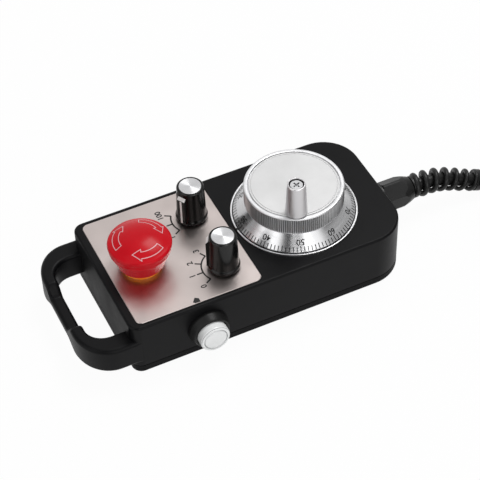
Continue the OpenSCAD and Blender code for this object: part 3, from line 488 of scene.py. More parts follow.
def addRelief():
    first, last, wide, narrow = (relief[k] for k in ("first", "last", "fromRadius", "toRadius"))
    core = cable["diameter"] / 2 + relief["gap"]
    count = int(relief["turns"] * relief["steps"])
    points, radii = [], []
    for k in range(count + 1):
        f = k / count
        here, ahead, across, above = routeFrame(first + (last - first) * f)
        a = 2 * pi * k / relief["steps"]
        outer = wide + (narrow - wide) * f
        points.append(here + (across * cos(a) + above * sin(a)) * (core + outer) / 2)
        radii.append((outer - core) / 2)
    spiral = addCurve("reliefSpiral", points, radii, "rubber", ["strain_relief"], sides=5)
    bm = bmesh.new()
    for t, outer, half in ((first, wide - 0.9, 1.1), (last, narrow - 0.1, 1.6)):
        here, ahead, across, above = routeFrame(t)
        turn = Matrix((above, across, ahead)).transposed().to_4x4()
        ring = lathe([(core, -half), (outer, -half, 0.4), (outer, half, 0.4), (core, half)],
                     closed=True, steps=48)
        bmesh.ops.transform(ring, matrix=Matrix.Translation(here) @ turn, verts=ring.verts)
        joinInto(bm, ring)
    return spiral, makePiece("reliefCollars", bm, ["rubber"], "housing", ["strain_relief"])


reliefPieces = addRelief()

print("stage: housing")

box = {
    "handleEnd": -98,
    "cableEnd": 44,
    "halfWidth": 36.5,
    "height": 30,
    "seam": 4.6,
    "wall": 2.5,
    "cornerRadius": 5,
    "endRadius": 18,
    "edge": 1.2,
    "cornerSteps": 12,
    "edgeSteps": 6,
    "controlY": -1.2,
}


def cornerArcs(corners, z, steps):
    # Outline through quarter circles, given by centre, radius and first direction in degrees
    return [polar((x, y), r, start + 90 * k / steps, z) for x, y, r, start in corners
            for k in range(steps + 1)]


def boxOutline(inset, z):
    # Plan of the box, counterclockwise from the start of the rounding at the cable end, front side
    corners = []
    for end, side, start in ((1, -1, -90), (1, 1, 0), (-1, 1, 90), (-1, -1, 180)):
        r = box["endRadius"] if end > 0 else box["cornerRadius"]
        x = box["cableEnd"] - r if end > 0 else box["handleEnd"] + r
        corners.append((x, side * (box["halfWidth"] - r), r - inset, start))
    return cornerArcs(corners, z, box["cornerSteps"])


endSide = box["cornerSteps"]                    # number of the flat side at the cable end
frontSide = 4 * (box["cornerSteps"] + 1) - 1    # number of the flat side with the enable button

holes = {
    # place in the wall's plane and radius
    "encoder": ((0, box["controlY"]), 25.1),
    "stop": ((-78, box["controlY"]), 8.1),
    "rate": ((-44.7, 16.6), 4.6),
    "axis": ((-44.7, -19.0), 4.6),
    "enable": ((-61.5, 15), 8.1),
    "gland": ((0, 15), 6.35),
}
plateHoles = ("stop", "rate", "axis")

plate = {
    "middle": -63,
    "length": 62,
    "width": 68,
    "corner": 3,
    "cornerSteps": 8,
    "floor": 29.2,
    "top": 30.2,
    "edge": 0.18,
    "air": 0.1,
}


def plateOutline(grow, z):
    c = plate["corner"]
    corners = [(plate["middle"] + end * (plate["length"] / 2 - c), side * (plate["width"] / 2 - c), c + grow,
                start) for end, side, start in ((1, 1, 0), (-1, 1, 90), (-1, -1, 180), (1, -1, 270))]
    return cornerArcs(corners, z, plate["cornerSteps"])


def upright(name, z):
    (x, y), radius = holes[name]
    return circle((x, y, z), radius)


handle = {
    "reach": 22, "top": 21, "low": 6.8, "armWidth": 10.3, "gripWidth": 6.2, "gripTop": 15.7,
    "gripLow": 10.3, "gripHalf": 9.5, "ramp": 6, "lowRamp": 9.6, "rounding": 2, "bendX": 13, "bendY": 14,
    "inset": 0.05, "gripSteps": 24, "bendSteps": 20, "cornerSteps": 6,
}


def handleStations():
    # Places along the loop from the middle of the grip to one arm: point, outward direction, width
    h = handle
    aside = Vector((0, 1, 0))
    armY = box["halfWidth"] - h["inset"] - h["armWidth"] / 2
    gripX = box["handleEnd"] - h["reach"] + h["gripWidth"] / 2
    bendX, bendY = gripX + h["bendX"], armY - h["bendY"]
    stations = [(gripX, bendY * k / h["gripSteps"], Vector((-1, 0, 0)), h["gripWidth"])
                for k in range(h["gripSteps"] + 1)]
    for k in range(1, h["bendSteps"] + 1):
        a = pi / 2 * (1 - k / h["bendSteps"])
        out = Vector((-sin(a) / h["bendX"], cos(a) / h["bendY"], 0)).normalized()
        width = h["armWidth"] + (h["gripWidth"] - h["armWidth"]) * ease(a / (pi / 2))
        stations.append((bendX - h["bendX"] * sin(a), bendY + h["bendY"] * cos(a), out, width))
    stations.append((box["handleEnd"] + box["wall"] / 2, armY, aside, h["armWidth"]))
    stations.append((box["handleEnd"] + box["cornerRadius"], box["halfWidth"] - box["wall"] / 2, aside,
                     box["wall"] - 2 * h["inset"]))
    return stations


def handleRing(x, y, out, width):
    h = handle
    past = abs(y) - h["gripHalf"]
    high = h["gripTop"] + (h["top"] - h["gripTop"]) * ease(past / h["ramp"])
    base = h["gripLow"] - (h["gripLow"] - h["low"]) * ease(past / h["lowRamp"])
    r = min(h["rounding"], width / 2 - 0.1)
    ring = []
    for quarter, (side, level) in enumerate(((1, high - r), (-1, high - r), (-1, base + r), (1, base + r))):
        for k in range(h["cornerSteps"] + 1):
            a = radians(90 * quarter + 90 * k / h["cornerSteps"])
            across = side * (width / 2 - r) + r * cos(a)
            ring.append(Vector((x, y, level + r * sin(a))) + out * across)
    return ring


def addWalls(bm):
    top, inside, seam = box["height"], box["height"] - box["wall"], box["seam"]
    turns = [pi / 2 * k / box["edgeSteps"] for k in range(box["edgeSteps"] + 1)]
    outer = [boxOutline(0, seam)] + [boxOutline(box["edge"] * (1 - cos(a)),
                                                top - box["edge"] * (1 - sin(a))) for a in turns]
    inner = [boxOutline(box["wall"], seam), boxOutline(box["wall"], inside)]
    recess = [plateOutline(plate["air"], plate["floor"]), plateOutline(plate["air"], top)]
    loft(bm, outer[:2], skip=(endSide, frontSide))
    loft(bm, outer[1:])
    loft(bm, inner, skip=(endSide, frontSide))
    loft(bm, [outer[0], inner[0]])
    loft(bm, recess)
    flatWithHoles(bm, [outer[-1], recess[1], upright("encoder", top)])
    flatWithHoles(bm, [recess[0]] + [upright(n, plate["floor"]) for n in plateHoles])
    flatWithHoles(bm, [inner[1]] + [upright(n, inside) for n in (*plateHoles, "encoder")])
    holeWall(bm, upright("encoder", inside), upward * box["wall"])
    for name in plateHoles:
        holeWall(bm, upright(name, inside), upward * (plate["floor"] - inside))


def addSideWall(bm, side, name, surface, x, out):
    # The flat part of a side wall, inner and outer face, with one round hole through it
    (along, level), radius = holes[name]
    inside = box["height"] - box["wall"]
    for inset, high in ((0, box["height"] - box["edge"]), (box["wall"], inside)):
        ring = boxOutline(inset, 0)
        a, b = ring[side], ring[(side + 1) % len(ring)]
        corners = ((a, box["seam"]), (b, box["seam"]), (b, high), (a, high))
        hole = circle(x * along + out * (surface - inset) + upward * level, radius, x, upward)
        flatWithHoles(bm, [[Vector((p.x, p.y, z)) for p, z in corners], hole])
    holeWall(bm, hole, out * box["wall"])


def addHousing():
    bm = bmesh.new()
    addWalls(bm)
    addSideWall(bm, frontSide, "enable", box["halfWidth"], Vector((1, 0, 0)), Vector((0, -1, 0)))
    addSideWall(bm, endSide, "gland", box["cableEnd"], Vector((0, 1, 0)), Vector((1, 0, 0)))
    half = handleStations()
    turned = [(x, -y, Vector((out.x, -out.y, 0)), width) for x, y, out, width in reversed(half[1:])]
    rows = loft(bm, [handleRing(*s) for s in turned + half])
    for row in (rows[0], rows[-1]):
        bm.faces.new(row)
    # the end wall inside the handle's opening gets the matt, less reflective plastic: painted shade under the
    # handle
    paintWhere(bm, (box["handleEnd"], 0), lambda r, z: r < 0.1)
    makePiece("housingShell", bm, ["housing", "housingMattAndShade"], "housing", ["upper_housing"])


addHousing()


def addPlate():
    bm = bmesh.new()
    floor, top = plate["floor"], plate["top"]
    rings = [plateOutline(0, floor), plateOutline(0, top - plate["edge"]), plateOutline(-plate["edge"], top)]
    loft(bm, rings)
    for z, ring in ((floor, rings[0]), (top, rings[-1])):
        flatWithHoles(bm, [ring] + [upright(n, z) for n in plateHoles])
    for name in plateHoles:
        holeWall(bm, upright(name, floor), upward * (top - floor))
    makePiece("controlPlate", bm, ["plate"], "housing", ["panel_plate"], sharp=25)


addPlate()

print("stage: printing")

marks = {
    "line": 0.75,
    "lift": 0.025,
    "tickFrom": 10.2,
    "tickTo": 13.3,
    "numberHeight": 2.8,
    "numberBold": 0.025,     # share of the figures' size
    "numberTurn": 90,
    "arcSteps": 40,
    # a pointed mark beside the enable button
    "pointed": [(-66.6, -32.9), (-65.6, -33.9), (-63.2, -33.9), (-63.2, -31.7), (-64.8, -30.6)],
}


def strip(bm, points, width, closed=False):
    # A flat line of the given width along points that share one height
    count = len(points)
    rows = []
    for i, p in enumerate(points):
        before = points[i - 1] if i or closed else p
        after = points[(i + 1) % count] if i < count - 1 or closed else p
        back, on = (p - before), (after - p)
        ahead = (back.normalized() + on.normalized()).normalized()
        side = Vector((-ahead.y, ahead.x, 0))
        lengthen = 1.0
        if back.length > 0 and on.length > 0:
            lengthen = 1 / max(0.35, side.dot(Vector((-on.y, on.x, 0)).normalized()))
        rows.append([bm.verts.new(p + side * s * width / 2 * lengthen) for s in (1, -1)])
    for a, b in list(zip(rows, rows[1:])) + ([(rows[-1], rows[0])] if closed else []):
        bm.faces.new((a[0], a[1], b[1], b[0]))


def glyphs(text, height, bold):
    # Flat figures of the given height, centred on the origin
    curve = bpy.data.curves.new("figures", "FONT")
    curve.body = text
    curve.align_x = "CENTER"
    curve.resolution_u = 4
    curve.offset = bold
    holder = bpy.data.objects.new("figures", curve)
    scene.collection.objects.link(holder)
    mesh = bpy.data.meshes.new_from_object(holder)
    bpy.data.objects.remove(holder)
    bm = bmesh.new()
    bm.from_mesh(mesh)
    bpy.data.meshes.remove(mesh)
    tall = max(v.co.y for v in bm.verts)
    wide = [v.co.x for v in bm.verts]
    mid = (min(wide) + max(wide)) / 2
    for v in bm.verts:
        v.co = Vector(((v.co.x - mid) * height / tall, v.co.y * height / tall - height / 2, 0))
    return bm


scales = [
    # middle, directions and figures of the two selectors' scales
    {"at": (-44.7, 16.0), "turns": (150, 180, 210), "figures": ("100", "10", "1"), "numberAt": 16.0},
    {"at": (-44.7, -18.4), "turns": (120, 150, 180, 210), "figures": ("3", "2", "1", "0"), "numberAt": 15.6},
]


def addPrint():
    bm = bmesh.new()
    z = plate["top"] + marks["lift"]
    for scale in scales:
        at, first, last = scale["at"], scale["turns"][0], scale["turns"][-1]
        arc = [first + (last - first) * k / marks["arcSteps"] for k in range(marks["arcSteps"] + 1)]
        strip(bm, [polar(at, marks["tickFrom"], turn, z) for turn in arc], marks["line"])
        for turn, text in zip(scale["turns"], scale["figures"]):
            strip(bm, [polar(at, marks[k], turn, z) for k in ("tickFrom", "tickTo")], marks["line"])
            figures = glyphs(text, marks["numberHeight"], marks["numberBold"])
            place = Matrix.Translation(polar(at, scale["numberAt"], turn, z))
            turned = place @ Matrix.Rotation(radians(marks["numberTurn"]), 4, "Z")
            bmesh.ops.transform(figures, verts=figures.verts, matrix=turned)
            joinInto(bm, figures)
    bm.faces.new([bm.verts.new((x, y, z)) for x, y in marks["pointed"]])
    makePiece("plateMarks", bm, ["inkAndShade"], "housing")


addPrint()

print("stage: handwheel")

wheel = {
    "axis": (0, box["controlY"]),
    "steps": 144,
    # fixed ring and the encoder's case under it
    "ringRadius": 30, "ringWidth": 0.75, "ringTop": 31, "ringFloor": 30.1, "caseRadius": 25,
    "caseInside": 23.5, "caseLow": 8, "caseTop": 27.5, "hole": 4, "bossInside": 6.53,
    "bossOutside": 8.5, "bossLow": 23, "notch": 0.65,
    # graduated dial
    "dialRadius": 28.8, "dialLow": 30.8, "dialEdge": 31.5, "dialThick": 1.5, "coneTop": 37.5,
    "coneRadius": 22.4,
    # rim with its flutes, face and spinner
    "radius": 23.5, "low": 37.5, "top": 47.4, "flutes": 144, "fluteDepth": 0.45, "hub": 8, "web": 0.82,
    "webLow": 2.4, "faceRadius": 21.15, "shaft": 3.05, "spinner": (-7.19, -18.14),
}


def addRing():
    # A narrow bead outside, a groove and a lower bead round the dial
    w = wheel
    R, top, floor, roof, low = (w[k] for k in ("ringRadius", "ringTop", "ringFloor", "caseTop", "caseLow"))
    inner, boss, bossIn, bossLow = R - w["ringWidth"], w["bossOutside"], w["bossInside"], w["bossLow"]
    bm = lathe([(w["caseRadius"], low), (w["caseRadius"], box["height"]), (R, box["height"]), (R, top, 0.2),
                (R - 0.4, top, 0.1), (R - 0.45, top - 0.4), (R - 0.65, top - 0.4),
                (R - 0.68, top - 0.15, 0.05), (inner, top - 0.15, 0.1), (inner, floor, 0.1),
                (w["hole"], floor), (w["hole"], roof), (bossIn, roof), (bossIn, bossLow), (boss, bossLow),
                (boss, roof), (w["caseInside"], roof), (w["caseInside"], low)],
               w["axis"], w["steps"], closed=True)
    # the ring's inner wall and the floor under the dial are black: painted shade in the gap between ring and
    # dial
    paintWhere(bm, w["axis"], lambda r, z: r < inner + 0.01 and z > floor - 1.1)
    makePiece("fixedRing", bm, ["ring", "inkAndShade"], "housing", ["encoder_case"],
              turnedAbout=w["axis"])
    notch = bmesh.new()
    rows = [[notch.verts.new((w["axis"][0] - r, w["axis"][1] + side * w["notch"], z)) for side in (-1, 1)]
            for r, z in ((R + 0.05, floor), (R + 0.05, top + 0.04), (R - 1.1, top + 0.04))]
    for a, b in zip(rows, rows[1:]):
        notch.faces.new((a[0], a[1], b[1], b[0]))
    makePiece("ringIndex", notch, ["inkAndShade"], "housing")


def addDial():
    w = wheel
    R, r, top, under = w["dialRadius"], w["coneRadius"], w["coneTop"], w["coneTop"] - w["dialThick"]
    bm = lathe([(R - 1.6, w["dialLow"]), (R, w["dialLow"], 0.1), (R, w["dialEdge"], 0.25), (r, top, 0.1),
                (w["shaft"], top), (w["shaft"], under), (r - 1, under)], w["axis"], w["steps"], closed=True)
    makePiece("dialCone", bm, ["dial"], "wheel", ["graduated_dial"], turnedAbout=w["axis"])


def onCone(angle, down, aside=0.0):
    # A point on the dial: down the cone from its top edge, aside along the turn, just above the surface
    w = wheel
    run, rise = w["dialRadius"] - w["coneRadius"], w["coneTop"] - w["dialEdge"]
    slope = hypot(run, rise)
    r = w["coneRadius"] + run * down / slope + marks["lift"] * rise / slope
    z = w["coneTop"] - rise * down / slope + marks["lift"] * run / slope
    return polar(w["axis"], r, angle + degrees(aside / r), z)


graduation = {
    "count": 100,
    "edge": 8.7,             # down the cone from its top edge to the foot of the ticks
    "short": 2.3,
    "middle": 2.6,
    "long": 2.8,
    "line": 0.42,
    "zeroAt": 70.0,          # degrees, where the dial's zero stands
    "figureHeight": 2.8,
    "figureDown": 4.4,
    "figureBold": 0.012,     # share of the figures' size
}


def addDialMarks():
    g = graduation
    bm = bmesh.new()
    for k in range(g["count"]):
        angle = g["zeroAt"] + 360 / g["count"] * k
        head = g["edge"] - g["long" if k % 10 == 0 else "middle" if k % 5 == 0 else "short"]
        corners = [(g["edge"], -1), (g["edge"], 1), (head, 1), (head, -1)]
        bm.faces.new([bm.verts.new(onCone(angle, down, s * g["line"] / 2)) for down, s in corners])
        if k % 10 == 0:
            figures = glyphs(str(k), g["figureHeight"], g["figureBold"])
            for v in figures.verts:
                v.co = onCone(angle, g["figureDown"] + v.co.y, -v.co.x)
            joinInto(bm, figures)
    makePiece("dialMarks", bm, ["inkAndShade"], "wheel")


def addWheel():
    w = wheel
    R, low, top, hub, depth = w["radius"], w["low"], w["top"], w["hub"], w["fluteDepth"]
    bore = w["shaft"] + 0.05
    profile = roundedProfile([
        (R - 2.2, low), (R - 0.6, low, 0.1), (R, low + 0.6, 0.2), (R, top - 1.1), (R, top - 0.8),
        (R, top - 0.4, 0.2), (R - 0.4, top, 0.2), (R - 1.9, top, 0.3), (R - 2, top - 0.8),
        (hub, top - w["web"]), (bore, top - w["web"]), (bore, low), (hub, low), (hub, top - w["webLow"]),
        (R - 2.3, top - w["webLow"])])
    turns = [2 * pi * k / (4 * w["flutes"]) for k in range(4 * w["flutes"])]
    rings = []
    for r, z in profile:
        # flutes only on the flank, below the clean bead along the top edge
        deep = depth * max(0, min(1, (r - R + 0.55) / 0.5)) if z < top - 0.9 else 0
        cuts = [(a, r - deep * (0.5 - 0.5 * cos(w["flutes"] * a))) for a in turns]
        rings.append([polar(w["axis"], here, degrees(a), z) for a, here in cuts])
    bm = bmesh.new()
    loft(bm, rings + [rings[0]])
    # the faces down in the flutes get a darker metal: painted shade in the grooves
    paintWhere(bm, w["axis"], lambda r, z: R - 1.5 < r < R - 0.55 * depth and low + 1 < z < top - 1)
    makePiece("wheelRim", bm, ["rim", "fluteShade"], "wheel", ["wheel_knob"], sharp=45,
              turnedAbout=w["axis"])


def addFace():
    R, top = wheel["faceRadius"], wheel["top"] - 0.05
    bm = lathe([(0, top - 0.75), (R, top - 0.75), (R, top - 0.1, 0.2), (R - 0.7, top - 0.1, 0.1),
                (R - 0.8, top - 0.3), (R - 1, top - 0.3), (R - 1.1, top, 0.1), (0, top)],
               wheel["axis"], wheel["steps"])
    makePiece("wheelDisc", bm, ["face"], "wheel", ["wheel_face"], turnedAbout=wheel["axis"])


def addSpinner():
    low, high = (c.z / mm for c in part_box("spinner_grip"))
    at, bore, sink = wheel["spinner"], 2.05, 3.45
    bm = lathe([(bore, low), (4.9, low), (5.1, low + 0.3, 0.1), (4.3, high - 0.4, 0.4), (3.95, high, 0.2),
                (3.6, high, 0.15), (sink, high - 0.6), (sink, high - 2.7), (bore, high - 2.7)], at, 64,
               closed=True)
    # the walls and floor of the sunk hole round the screw are black: painted shade in the recess
    paintWhere(bm, at, lambda r, z: r < sink + 0.05 and z < high - 0.2)
    makePiece("spinnerHandle", bm, ["spinner", "inkAndShade"], "spinner", ["spinner_grip"], turnedAbout=at)


addRing()
addDial()
addDialMarks()
addWheel()
addFace()
addSpinner()

print("stage: stop button")

stop = {
    "at": holes["stop"][0],
    "radius": 14.85,
    "foot": 33.0,
    "height": 12.2,          # from the foot to the rim
    "dome": 4.9,
    "rimArc": 1.5, "rimFrom": -15, "rimSweep": 87,
    "flank": [(0.74, 0), (0.85, 0.37), (0.97, 0.72), (0.9899, 0.93)],    # shares of radius and height
    "scallopRadius": 8,
    "scallopOut": 6.9,
    "scallopHigh": 0.42,     # share of the height below which a scallop is upright
    "scallopSoft": 0.25,
    "firstScallop": -137,
    "hollow": 9.7,
    "hollowHigh": 7.7,
    "steps": 240, "flankSteps": 6, "rimSteps": 9, "domeSteps": 25,
}


def stopProfile():
    # Half section of the head: the flank, the rim's arc and the dome, each as (radius, height)
    s = stop
    R, foot, high, arc = s["radius"], s["foot"], s["height"], s["rimArc"]
    rimZ = foot + high - 0.4
    flank, steps = [], s["flankSteps"]
    for (r0, z0), (r1, z1) in zip(s["flank"], s["flank"][1:]):
        flank += [(R * (r0 + (r1 - r0) * k / steps), foot + high * (z0 + (z1 - z0) * k / steps))
                  for k in range(steps)]
    turns = [radians(s["rimFrom"] + s["rimSweep"] * k / s["rimSteps"]) for k in range(s["rimSteps"] + 1)]
    rim = [(R - arc + arc * cos(a), rimZ + arc * sin(a)) for a in turns]
    reach, rise, steps = R - arc, s["dome"] - arc + 0.3, s["domeSteps"]
    sphere = (reach ** 2 + rise ** 2) / (2 * rise)
    top = foot + high + s["dome"]
    turns = [asin(reach / sphere) * k / steps for k in range(steps - 1, -1, -1)]
    dome = [(sphere * sin(a), top - sphere * (1 - cos(a))) for a in turns]
    return flank, rim, dome


def domeHeight(r):
    flank, rim, dome = stopProfile()
    line = rim[-3:] + dome
    for (r0, z0), (r1, z1) in zip(line, line[1:]):
        if r1 <= r <= r0:
            return z0 + (z1 - z0) * (r0 - r) / (r0 - r1)
    return line[0][1]


def scalloped(r, angle, z):
    # Radius of the head's flank where a scallop, upright below and round above, cuts into it
    s = stop
    middle = s["radius"] + s["scallopOut"]
    nearest = min(((angle - s["firstScallop"] - 60 * k + 180) % 360 - 180 for k in range(6)), key=abs)
    a = radians(nearest)
    above = max(0.0, z - s["foot"] - s["scallopHigh"] * s["height"])
    reach = s["scallopRadius"] ** 2 - above ** 2 - (middle * sin(a)) ** 2
    if reach <= 0:
        return r
    cut = middle * cos(a) - sqrt(reach)
    h = max(0.0, min(1.0, 0.5 + 0.5 * (cut - r) / s["scallopSoft"]))
    return cut * (1 - h) + r * h - s["scallopSoft"] * h * (1 - h)


def addStopHead():
    s = stop
    turns = [360 * k / s["steps"] for k in range(s["steps"])]
    flank, rim, dome = stopProfile()
    bm = bmesh.new()
    rings = [[polar(s["at"], scalloped(r, a, z), a, z) for a in turns] for r, z in flank + rim + dome[:-1]]
    rows = loft(bm, rings)
    tip = bm.verts.new((*s["at"], dome[-1][1]))
    for a, b in zip(rows[-1], rows[-1][1:] + rows[-1][:1]):
        bm.faces.new((a, b, tip))
    hollow = [[polar(s["at"], s["hollow"], a, z) for a in turns]
              for z in (s["foot"], s["foot"] + s["hollowHigh"])]
    bm.faces.new(loft(bm, hollow)[1])
    loft(bm, [rings[0], hollow[0]])
    makePiece("stopCap", bm, ["red"], "stop_head", ["stop_head"], sharp=50)


arrow = {
    "inner": 9.3, "outer": 12.2, "headInner": 8.1, "headOuter": 13.2, "line": 0.34,
    "tail": -52, "neck": -108, "tip": -130,      # degrees
    "steps": 16, "lift": 0.03,
}


def addArrows():
    # Three outlined arrows on the dome that show which way the head turns to release
    s, w = stop, arrow
    tail, neck, steps = w["tail"], w["neck"], w["steps"]
    sweep = [tail + (neck - tail) * i / steps for i in range(steps + 1)]
    outline = [(w["inner"], a) for a in sweep]
    outline += [(w["headInner"], neck), ((w["inner"] + w["outer"]) / 2, w["tip"]), (w["headOuter"], neck)]
    outline += [(w["outer"], a) for a in reversed(sweep)]
    bm = bmesh.new()
    for turn in (0, 120, 240):
        strip(bm, [polar(s["at"], r, a + turn) for r, a in outline], w["line"], closed=True)
    bmesh.ops.subdivide_edges(bm, edges=[e for e in bm.edges if e.calc_length() > 1.5], cuts=3,
                              use_grid_fill=True)
    for v in bm.verts:
        r = hypot(v.co.x - s["at"][0], v.co.y - s["at"][1])
        v.co.z = domeHeight(r) + w["lift"]
    makePiece("stopArrows", bm, ["arrowInk"], "stop_head")


def addCollar():
    low, high = (c.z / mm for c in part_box("stop_collar"))
    inner, outer = 8.1, 9.3
    bm = lathe([(inner, low), (outer, low), (outer, high, 0.3), (inner, high)], stop["at"], closed=True)
    makePiece("stopCollar", bm, ["orange"], "housing", ["stop_collar"])


addStopHead()
addArrows()
addCollar()

print("stage: selectors")

knob = {
    "foot": 31.0, "top": 50.2, "footRadius": 7.6, "topRadius": 6.4, "ribWidth": 4.2, "ribRadius": 7.76,
    "ribFrom": 4, "ribBevel": 0.22, "capRadius": 5.25, "capThick": 0.8, "capLift": 0.02, "bore": 3.05,
}


def knobRib(at, turn):
    # The raised rib with the pointer's facet at its top, painted with the second look
    c = knob
    low, high, half = c["foot"] + 0.8, c["top"] - 2.2, c["ribWidth"] / 2
    near, far = c["ribFrom"], c["ribRadius"]
    rib = bmesh.new()
    side = [(near, low), (far, low), (far, high - 1.4), (far - 1.2, high), (near, high)]
    face = rib.faces.new([rib.verts.new((x, -half, z)) for x, z in side])
    grown = bmesh.ops.extrude_face_region(rib, geom=[face])["geom"]
    bmesh.ops.translate(rib, verts=[g for g in grown if isinstance(g, bmesh.types.BMVert)],
                        vec=(0, 2 * half, 0))
    bmesh.ops.recalc_face_normals(rib, faces=rib.faces)
    for f in rib.faces:
        f.material_index = int(f.normal.x > 0.3 and f.normal.z > 0.3)
    bmesh.ops.bevel(rib, geom=rib.edges[:], offset=c["ribBevel"], offset_type="OFFSET", segments=2,
                    profile=0.5, material=-1, affect="EDGES")
    turned = Matrix.Translation((*at, 0)) @ Matrix.Rotation(radians(turn), 4, "Z")
    bmesh.ops.transform(rib, verts=rib.verts, matrix=turned)
    return rib


def addKnob(name, body, at, turn):
    c = knob
    foot, top, R, r = c["foot"], c["top"], c["footRadius"], c["topRadius"]
    seat, seatRadius = top - c["capThick"], c["capRadius"] + 0.05
    bm = lathe([(c["bore"], foot), (R - 0.7, foot, 0.1), (R, foot + 0.6, 0.2), (R, foot + 1.6, 0.2),
                (R - 0.5, foot + 2.4, 0.4), (r, top - 0.5, 0.3), (r - 0.45, top, 0.15),
                (seatRadius + 0.1, top, 0.05), (seatRadius, seat), (c["bore"], seat)], at, closed=True)
    joinInto(bm, knobRib(at, turn))
    makePiece(name + "Body", bm, ["knob", "greyInk"], body, [name + "_knob"], sharp=40)
    high = top + c["capLift"]
    disc = lathe([(0, seat), (c["capRadius"], seat), (c["capRadius"], high, 0.15), (0, high)], at)
    makePiece(name + "Disc", disc, ["cap"], body, [name + "_cap"], turnedAbout=at)


addKnob("rate", "rate_selector", holes["rate"][0], 210)
addKnob("axis", "axis_selector", holes["axis"][0], 150)

print("stage: enable button")

enable = {
    "bore": 6.02, "bushRadius": 8, "bushLow": -12.5, "bezelRadius": 9.75, "bezelHigh": 5, "well": 7.5,
    "wellFloor": 0.2, "capRadius": 7.2, "capFrom": 3, "grooveOuter": 5.75, "grooveInner": 5.35,
    "grooveFloor": 8.6,
}


def outOfWall(bm):
    # Turns a form made about +Z so that it points out of the front wall
    x, z = holes["enable"][0]
    turn = Matrix.Translation((x, -box["halfWidth"], z)) @ Matrix.Rotation(pi / 2, 4, "X")
    bmesh.ops.transform(bm, verts=bm.verts, matrix=turn)
    return bm


def addEnable():
    e = enable
    bore, R, B, high, well, floor = (e[k] for k in ("bore", "bushRadius", "bezelRadius", "bezelHigh", "well",
                                                    "wellFloor"))
    bezel = lathe([(bore, e["bushLow"]), (R, e["bushLow"], 0.3), (R, 0), (B, 0), (B, 1.2, 0.4),
                   (B - 1, high - 0.6, 0.4), (B - 1.25, high, 0.3), (well, high, 0.25), (well, floor),
                   (bore, floor)], closed=True)
    makePiece("enableBezel", outOfWall(bezel), ["bezel"], "housing", ["enable_bezel"])
    R, outer, inner, groove = e["capRadius"], e["grooveOuter"], e["grooveInner"], e["grooveFloor"]
    cap = lathe([(0, e["capFrom"]), (R, e["capFrom"]), (R, 8.3, 0.5), (R - 0.7, 9.1, 0.4),
                 (outer + 0.15, 9.1, 0.15), (outer, groove), (inner, groove), (inner - 0.15, 9, 0.15),
                 (0, 9.05)])
    # the groove's floor gets a darker grey: painted shade in the groove
    paintWhere(cap, (0, 0), lambda r, z: r > inner - 0.05 and groove - 0.05 < z < groove + 0.1)
    makePiece("enableButton", outOfWall(cap), ["milky", "milkyGrooveShade"], "enable_button",
              ["enable_cap"])


addEnable()

print("stage: studio")

studio = {
    "paper": (0.9, 0.9, 0.9),
    "paperGlow": 0.96,       # share of plain white in what the camera sees of the floor
    "floorHalf": 4,          # metres
    "skyStrength": 0.42,
    # degrees round from straight in front, and how bright the studio is there in reflections
    "around": ((-180, 1.0), (-150, 0.7), (-132, 0.35), (-112, 0.35), (-97, 1.5), (-62, 1.5), (-46, 0.04),
               (-10, 0.04), (2, 1.4), (24, 1.3), (44, 0.3), (95, 0.4), (180, 1.0)),
    "topEdge": (0.93, 0.985),    # upward share of a direction where the white ceiling sets in
    "target": (0, 0, 0.02),
}


def addLight(name, place, size, power):
    data = bpy.data.lights.new(name, "AREA")
    data.shape = "RECTANGLE"
    data.size, data.size_y = size
    data.energy = power
    light = bpy.data.objects.new(name, data)
    light.location = place
    light.rotation_euler = (Vector(studio["target"]) - Vector(place)).to_track_quat("-Z", "Y").to_euler()
    scene.collection.objects.link(light)


def seenDirectly(add, link, kinds):
    # 1 for the kinds of ray that show the background as plain white, 0 for the others
    path = add("LightPath")
    seen, *others = (path.outputs[f"Is {kind} Ray"] for kind in kinds)
    for other in others:
        either = add("Math", operation="MAXIMUM")
        link(seen, either.inputs[0])
        link(other, either.inputs[1])
        seen = either.outputs["Value"]
    return seen


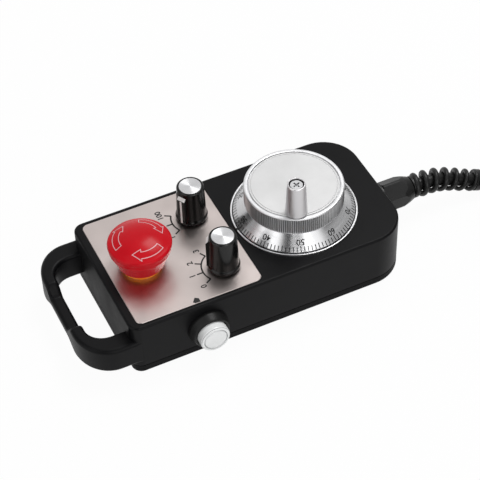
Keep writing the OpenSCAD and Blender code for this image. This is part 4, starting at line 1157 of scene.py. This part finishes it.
def buildSky():
    world = bpy.data.worlds.new("studio")
    scene.world = world
    world.use_nodes = True
    world.node_tree.nodes.clear()
    add, link = shaderTools(world.node_tree)
    mix = add("MixShader")
    for slot in (1, 2):
        sky = add("Background", {"Strength": studio["skyStrength"], "Color": (1, 1, 1, 1)})
        link(sky.outputs["Background"], mix.inputs[slot])
    # the second sky, in reflections, is a white studio with lamps and darker gaps round the object
    parts = add("SeparateXYZ")
    link(add("TexCoord").outputs["Generated"], parts.inputs["Vector"])
    back = add("Math", {1: -1}, operation="MULTIPLY")
    link(parts.outputs["Y"], back.inputs[0])
    turn = add("Math", operation="ARCTAN2")
    link(parts.outputs["X"], turn.inputs[0])
    link(back.outputs["Value"], turn.inputs[1])
    share = add("MapRange", {"From Min": -pi, "From Max": pi})
    link(turn.outputs["Value"], share.inputs["Value"])
    lamps = add("ValToRGB")
    lamps.color_ramp.interpolation = "EASE"
    colors = lamps.color_ramp.elements
    for k, (angle, bright) in enumerate(studio["around"]):
        color = colors[k] if k in (0, 1) else colors.new(1.0)
        color.position = (angle + 180) / 360
        color.color = (bright, bright, bright, 1)
    link(share.outputs["Result"], lamps.inputs["Fac"])
    low, high = studio["topEdge"]
    above = add("MapRange", {"From Min": low, "From Max": high}, interpolation_type="SMOOTHSTEP")
    link(parts.outputs["Z"], above.inputs["Value"])
    shade = add("MapRange", {"To Max": 1.0})
    link(above.outputs["Result"], shade.inputs["Value"])
    link(lamps.outputs["Color"], shade.inputs["To Min"])
    plain = add("Math", operation="MAXIMUM")
    link(seenDirectly(add, link, ("Camera", "Transmission")), plain.inputs[0])
    link(shade.outputs["Result"], plain.inputs[1])
    link(plain.outputs["Value"], sky.inputs["Strength"])
    link(seenDirectly(add, link, ("Camera", "Glossy", "Transmission")), mix.inputs[0])
    link(mix.outputs["Shader"], add("OutputWorld").inputs["Surface"])


def buildFloor():
    bm = bmesh.new()
    bmesh.ops.create_grid(bm, x_segments=1, y_segments=1, size=studio["floorHalf"])
    mesh = bpy.data.meshes.new("floor")
    bm.to_mesh(mesh)
    bm.free()
    floor = bpy.data.objects.new("floor", mesh)
    scene.collection.objects.link(floor)
    paper = newMaterial("floorPaper", studio["paper"], 0.9, Specular_IOR_Level=0.0)
    nodes = paper.node_tree.nodes
    add, link = shaderTools(paper.node_tree)
    glow = add("Emission", {"Color": (1, 1, 1, 1)})
    share = add("Math", {1: studio["paperGlow"]}, operation="MULTIPLY")
    mix = add("MixShader")
    link(seenDirectly(add, link, ("Camera", "Glossy", "Transmission")), share.inputs[0])
    link(share.outputs["Value"], mix.inputs[0])
    link(nodes["Principled BSDF"].outputs["BSDF"], mix.inputs[1])
    link(glow.outputs["Emission"], mix.inputs[2])
    link(mix.outputs["Shader"], nodes["Material Output"].inputs["Surface"])
    mesh.materials.append(paper)


buildSky()
buildFloor()
scene.view_settings.view_transform = "Standard"
addLight("keyLight", (0.45, 0.227, 1.09), (0.5, 0.5), 7)
addLight("fillLight", (-0.25, -1.15, 0.6), (0.8, 0.6), 4)
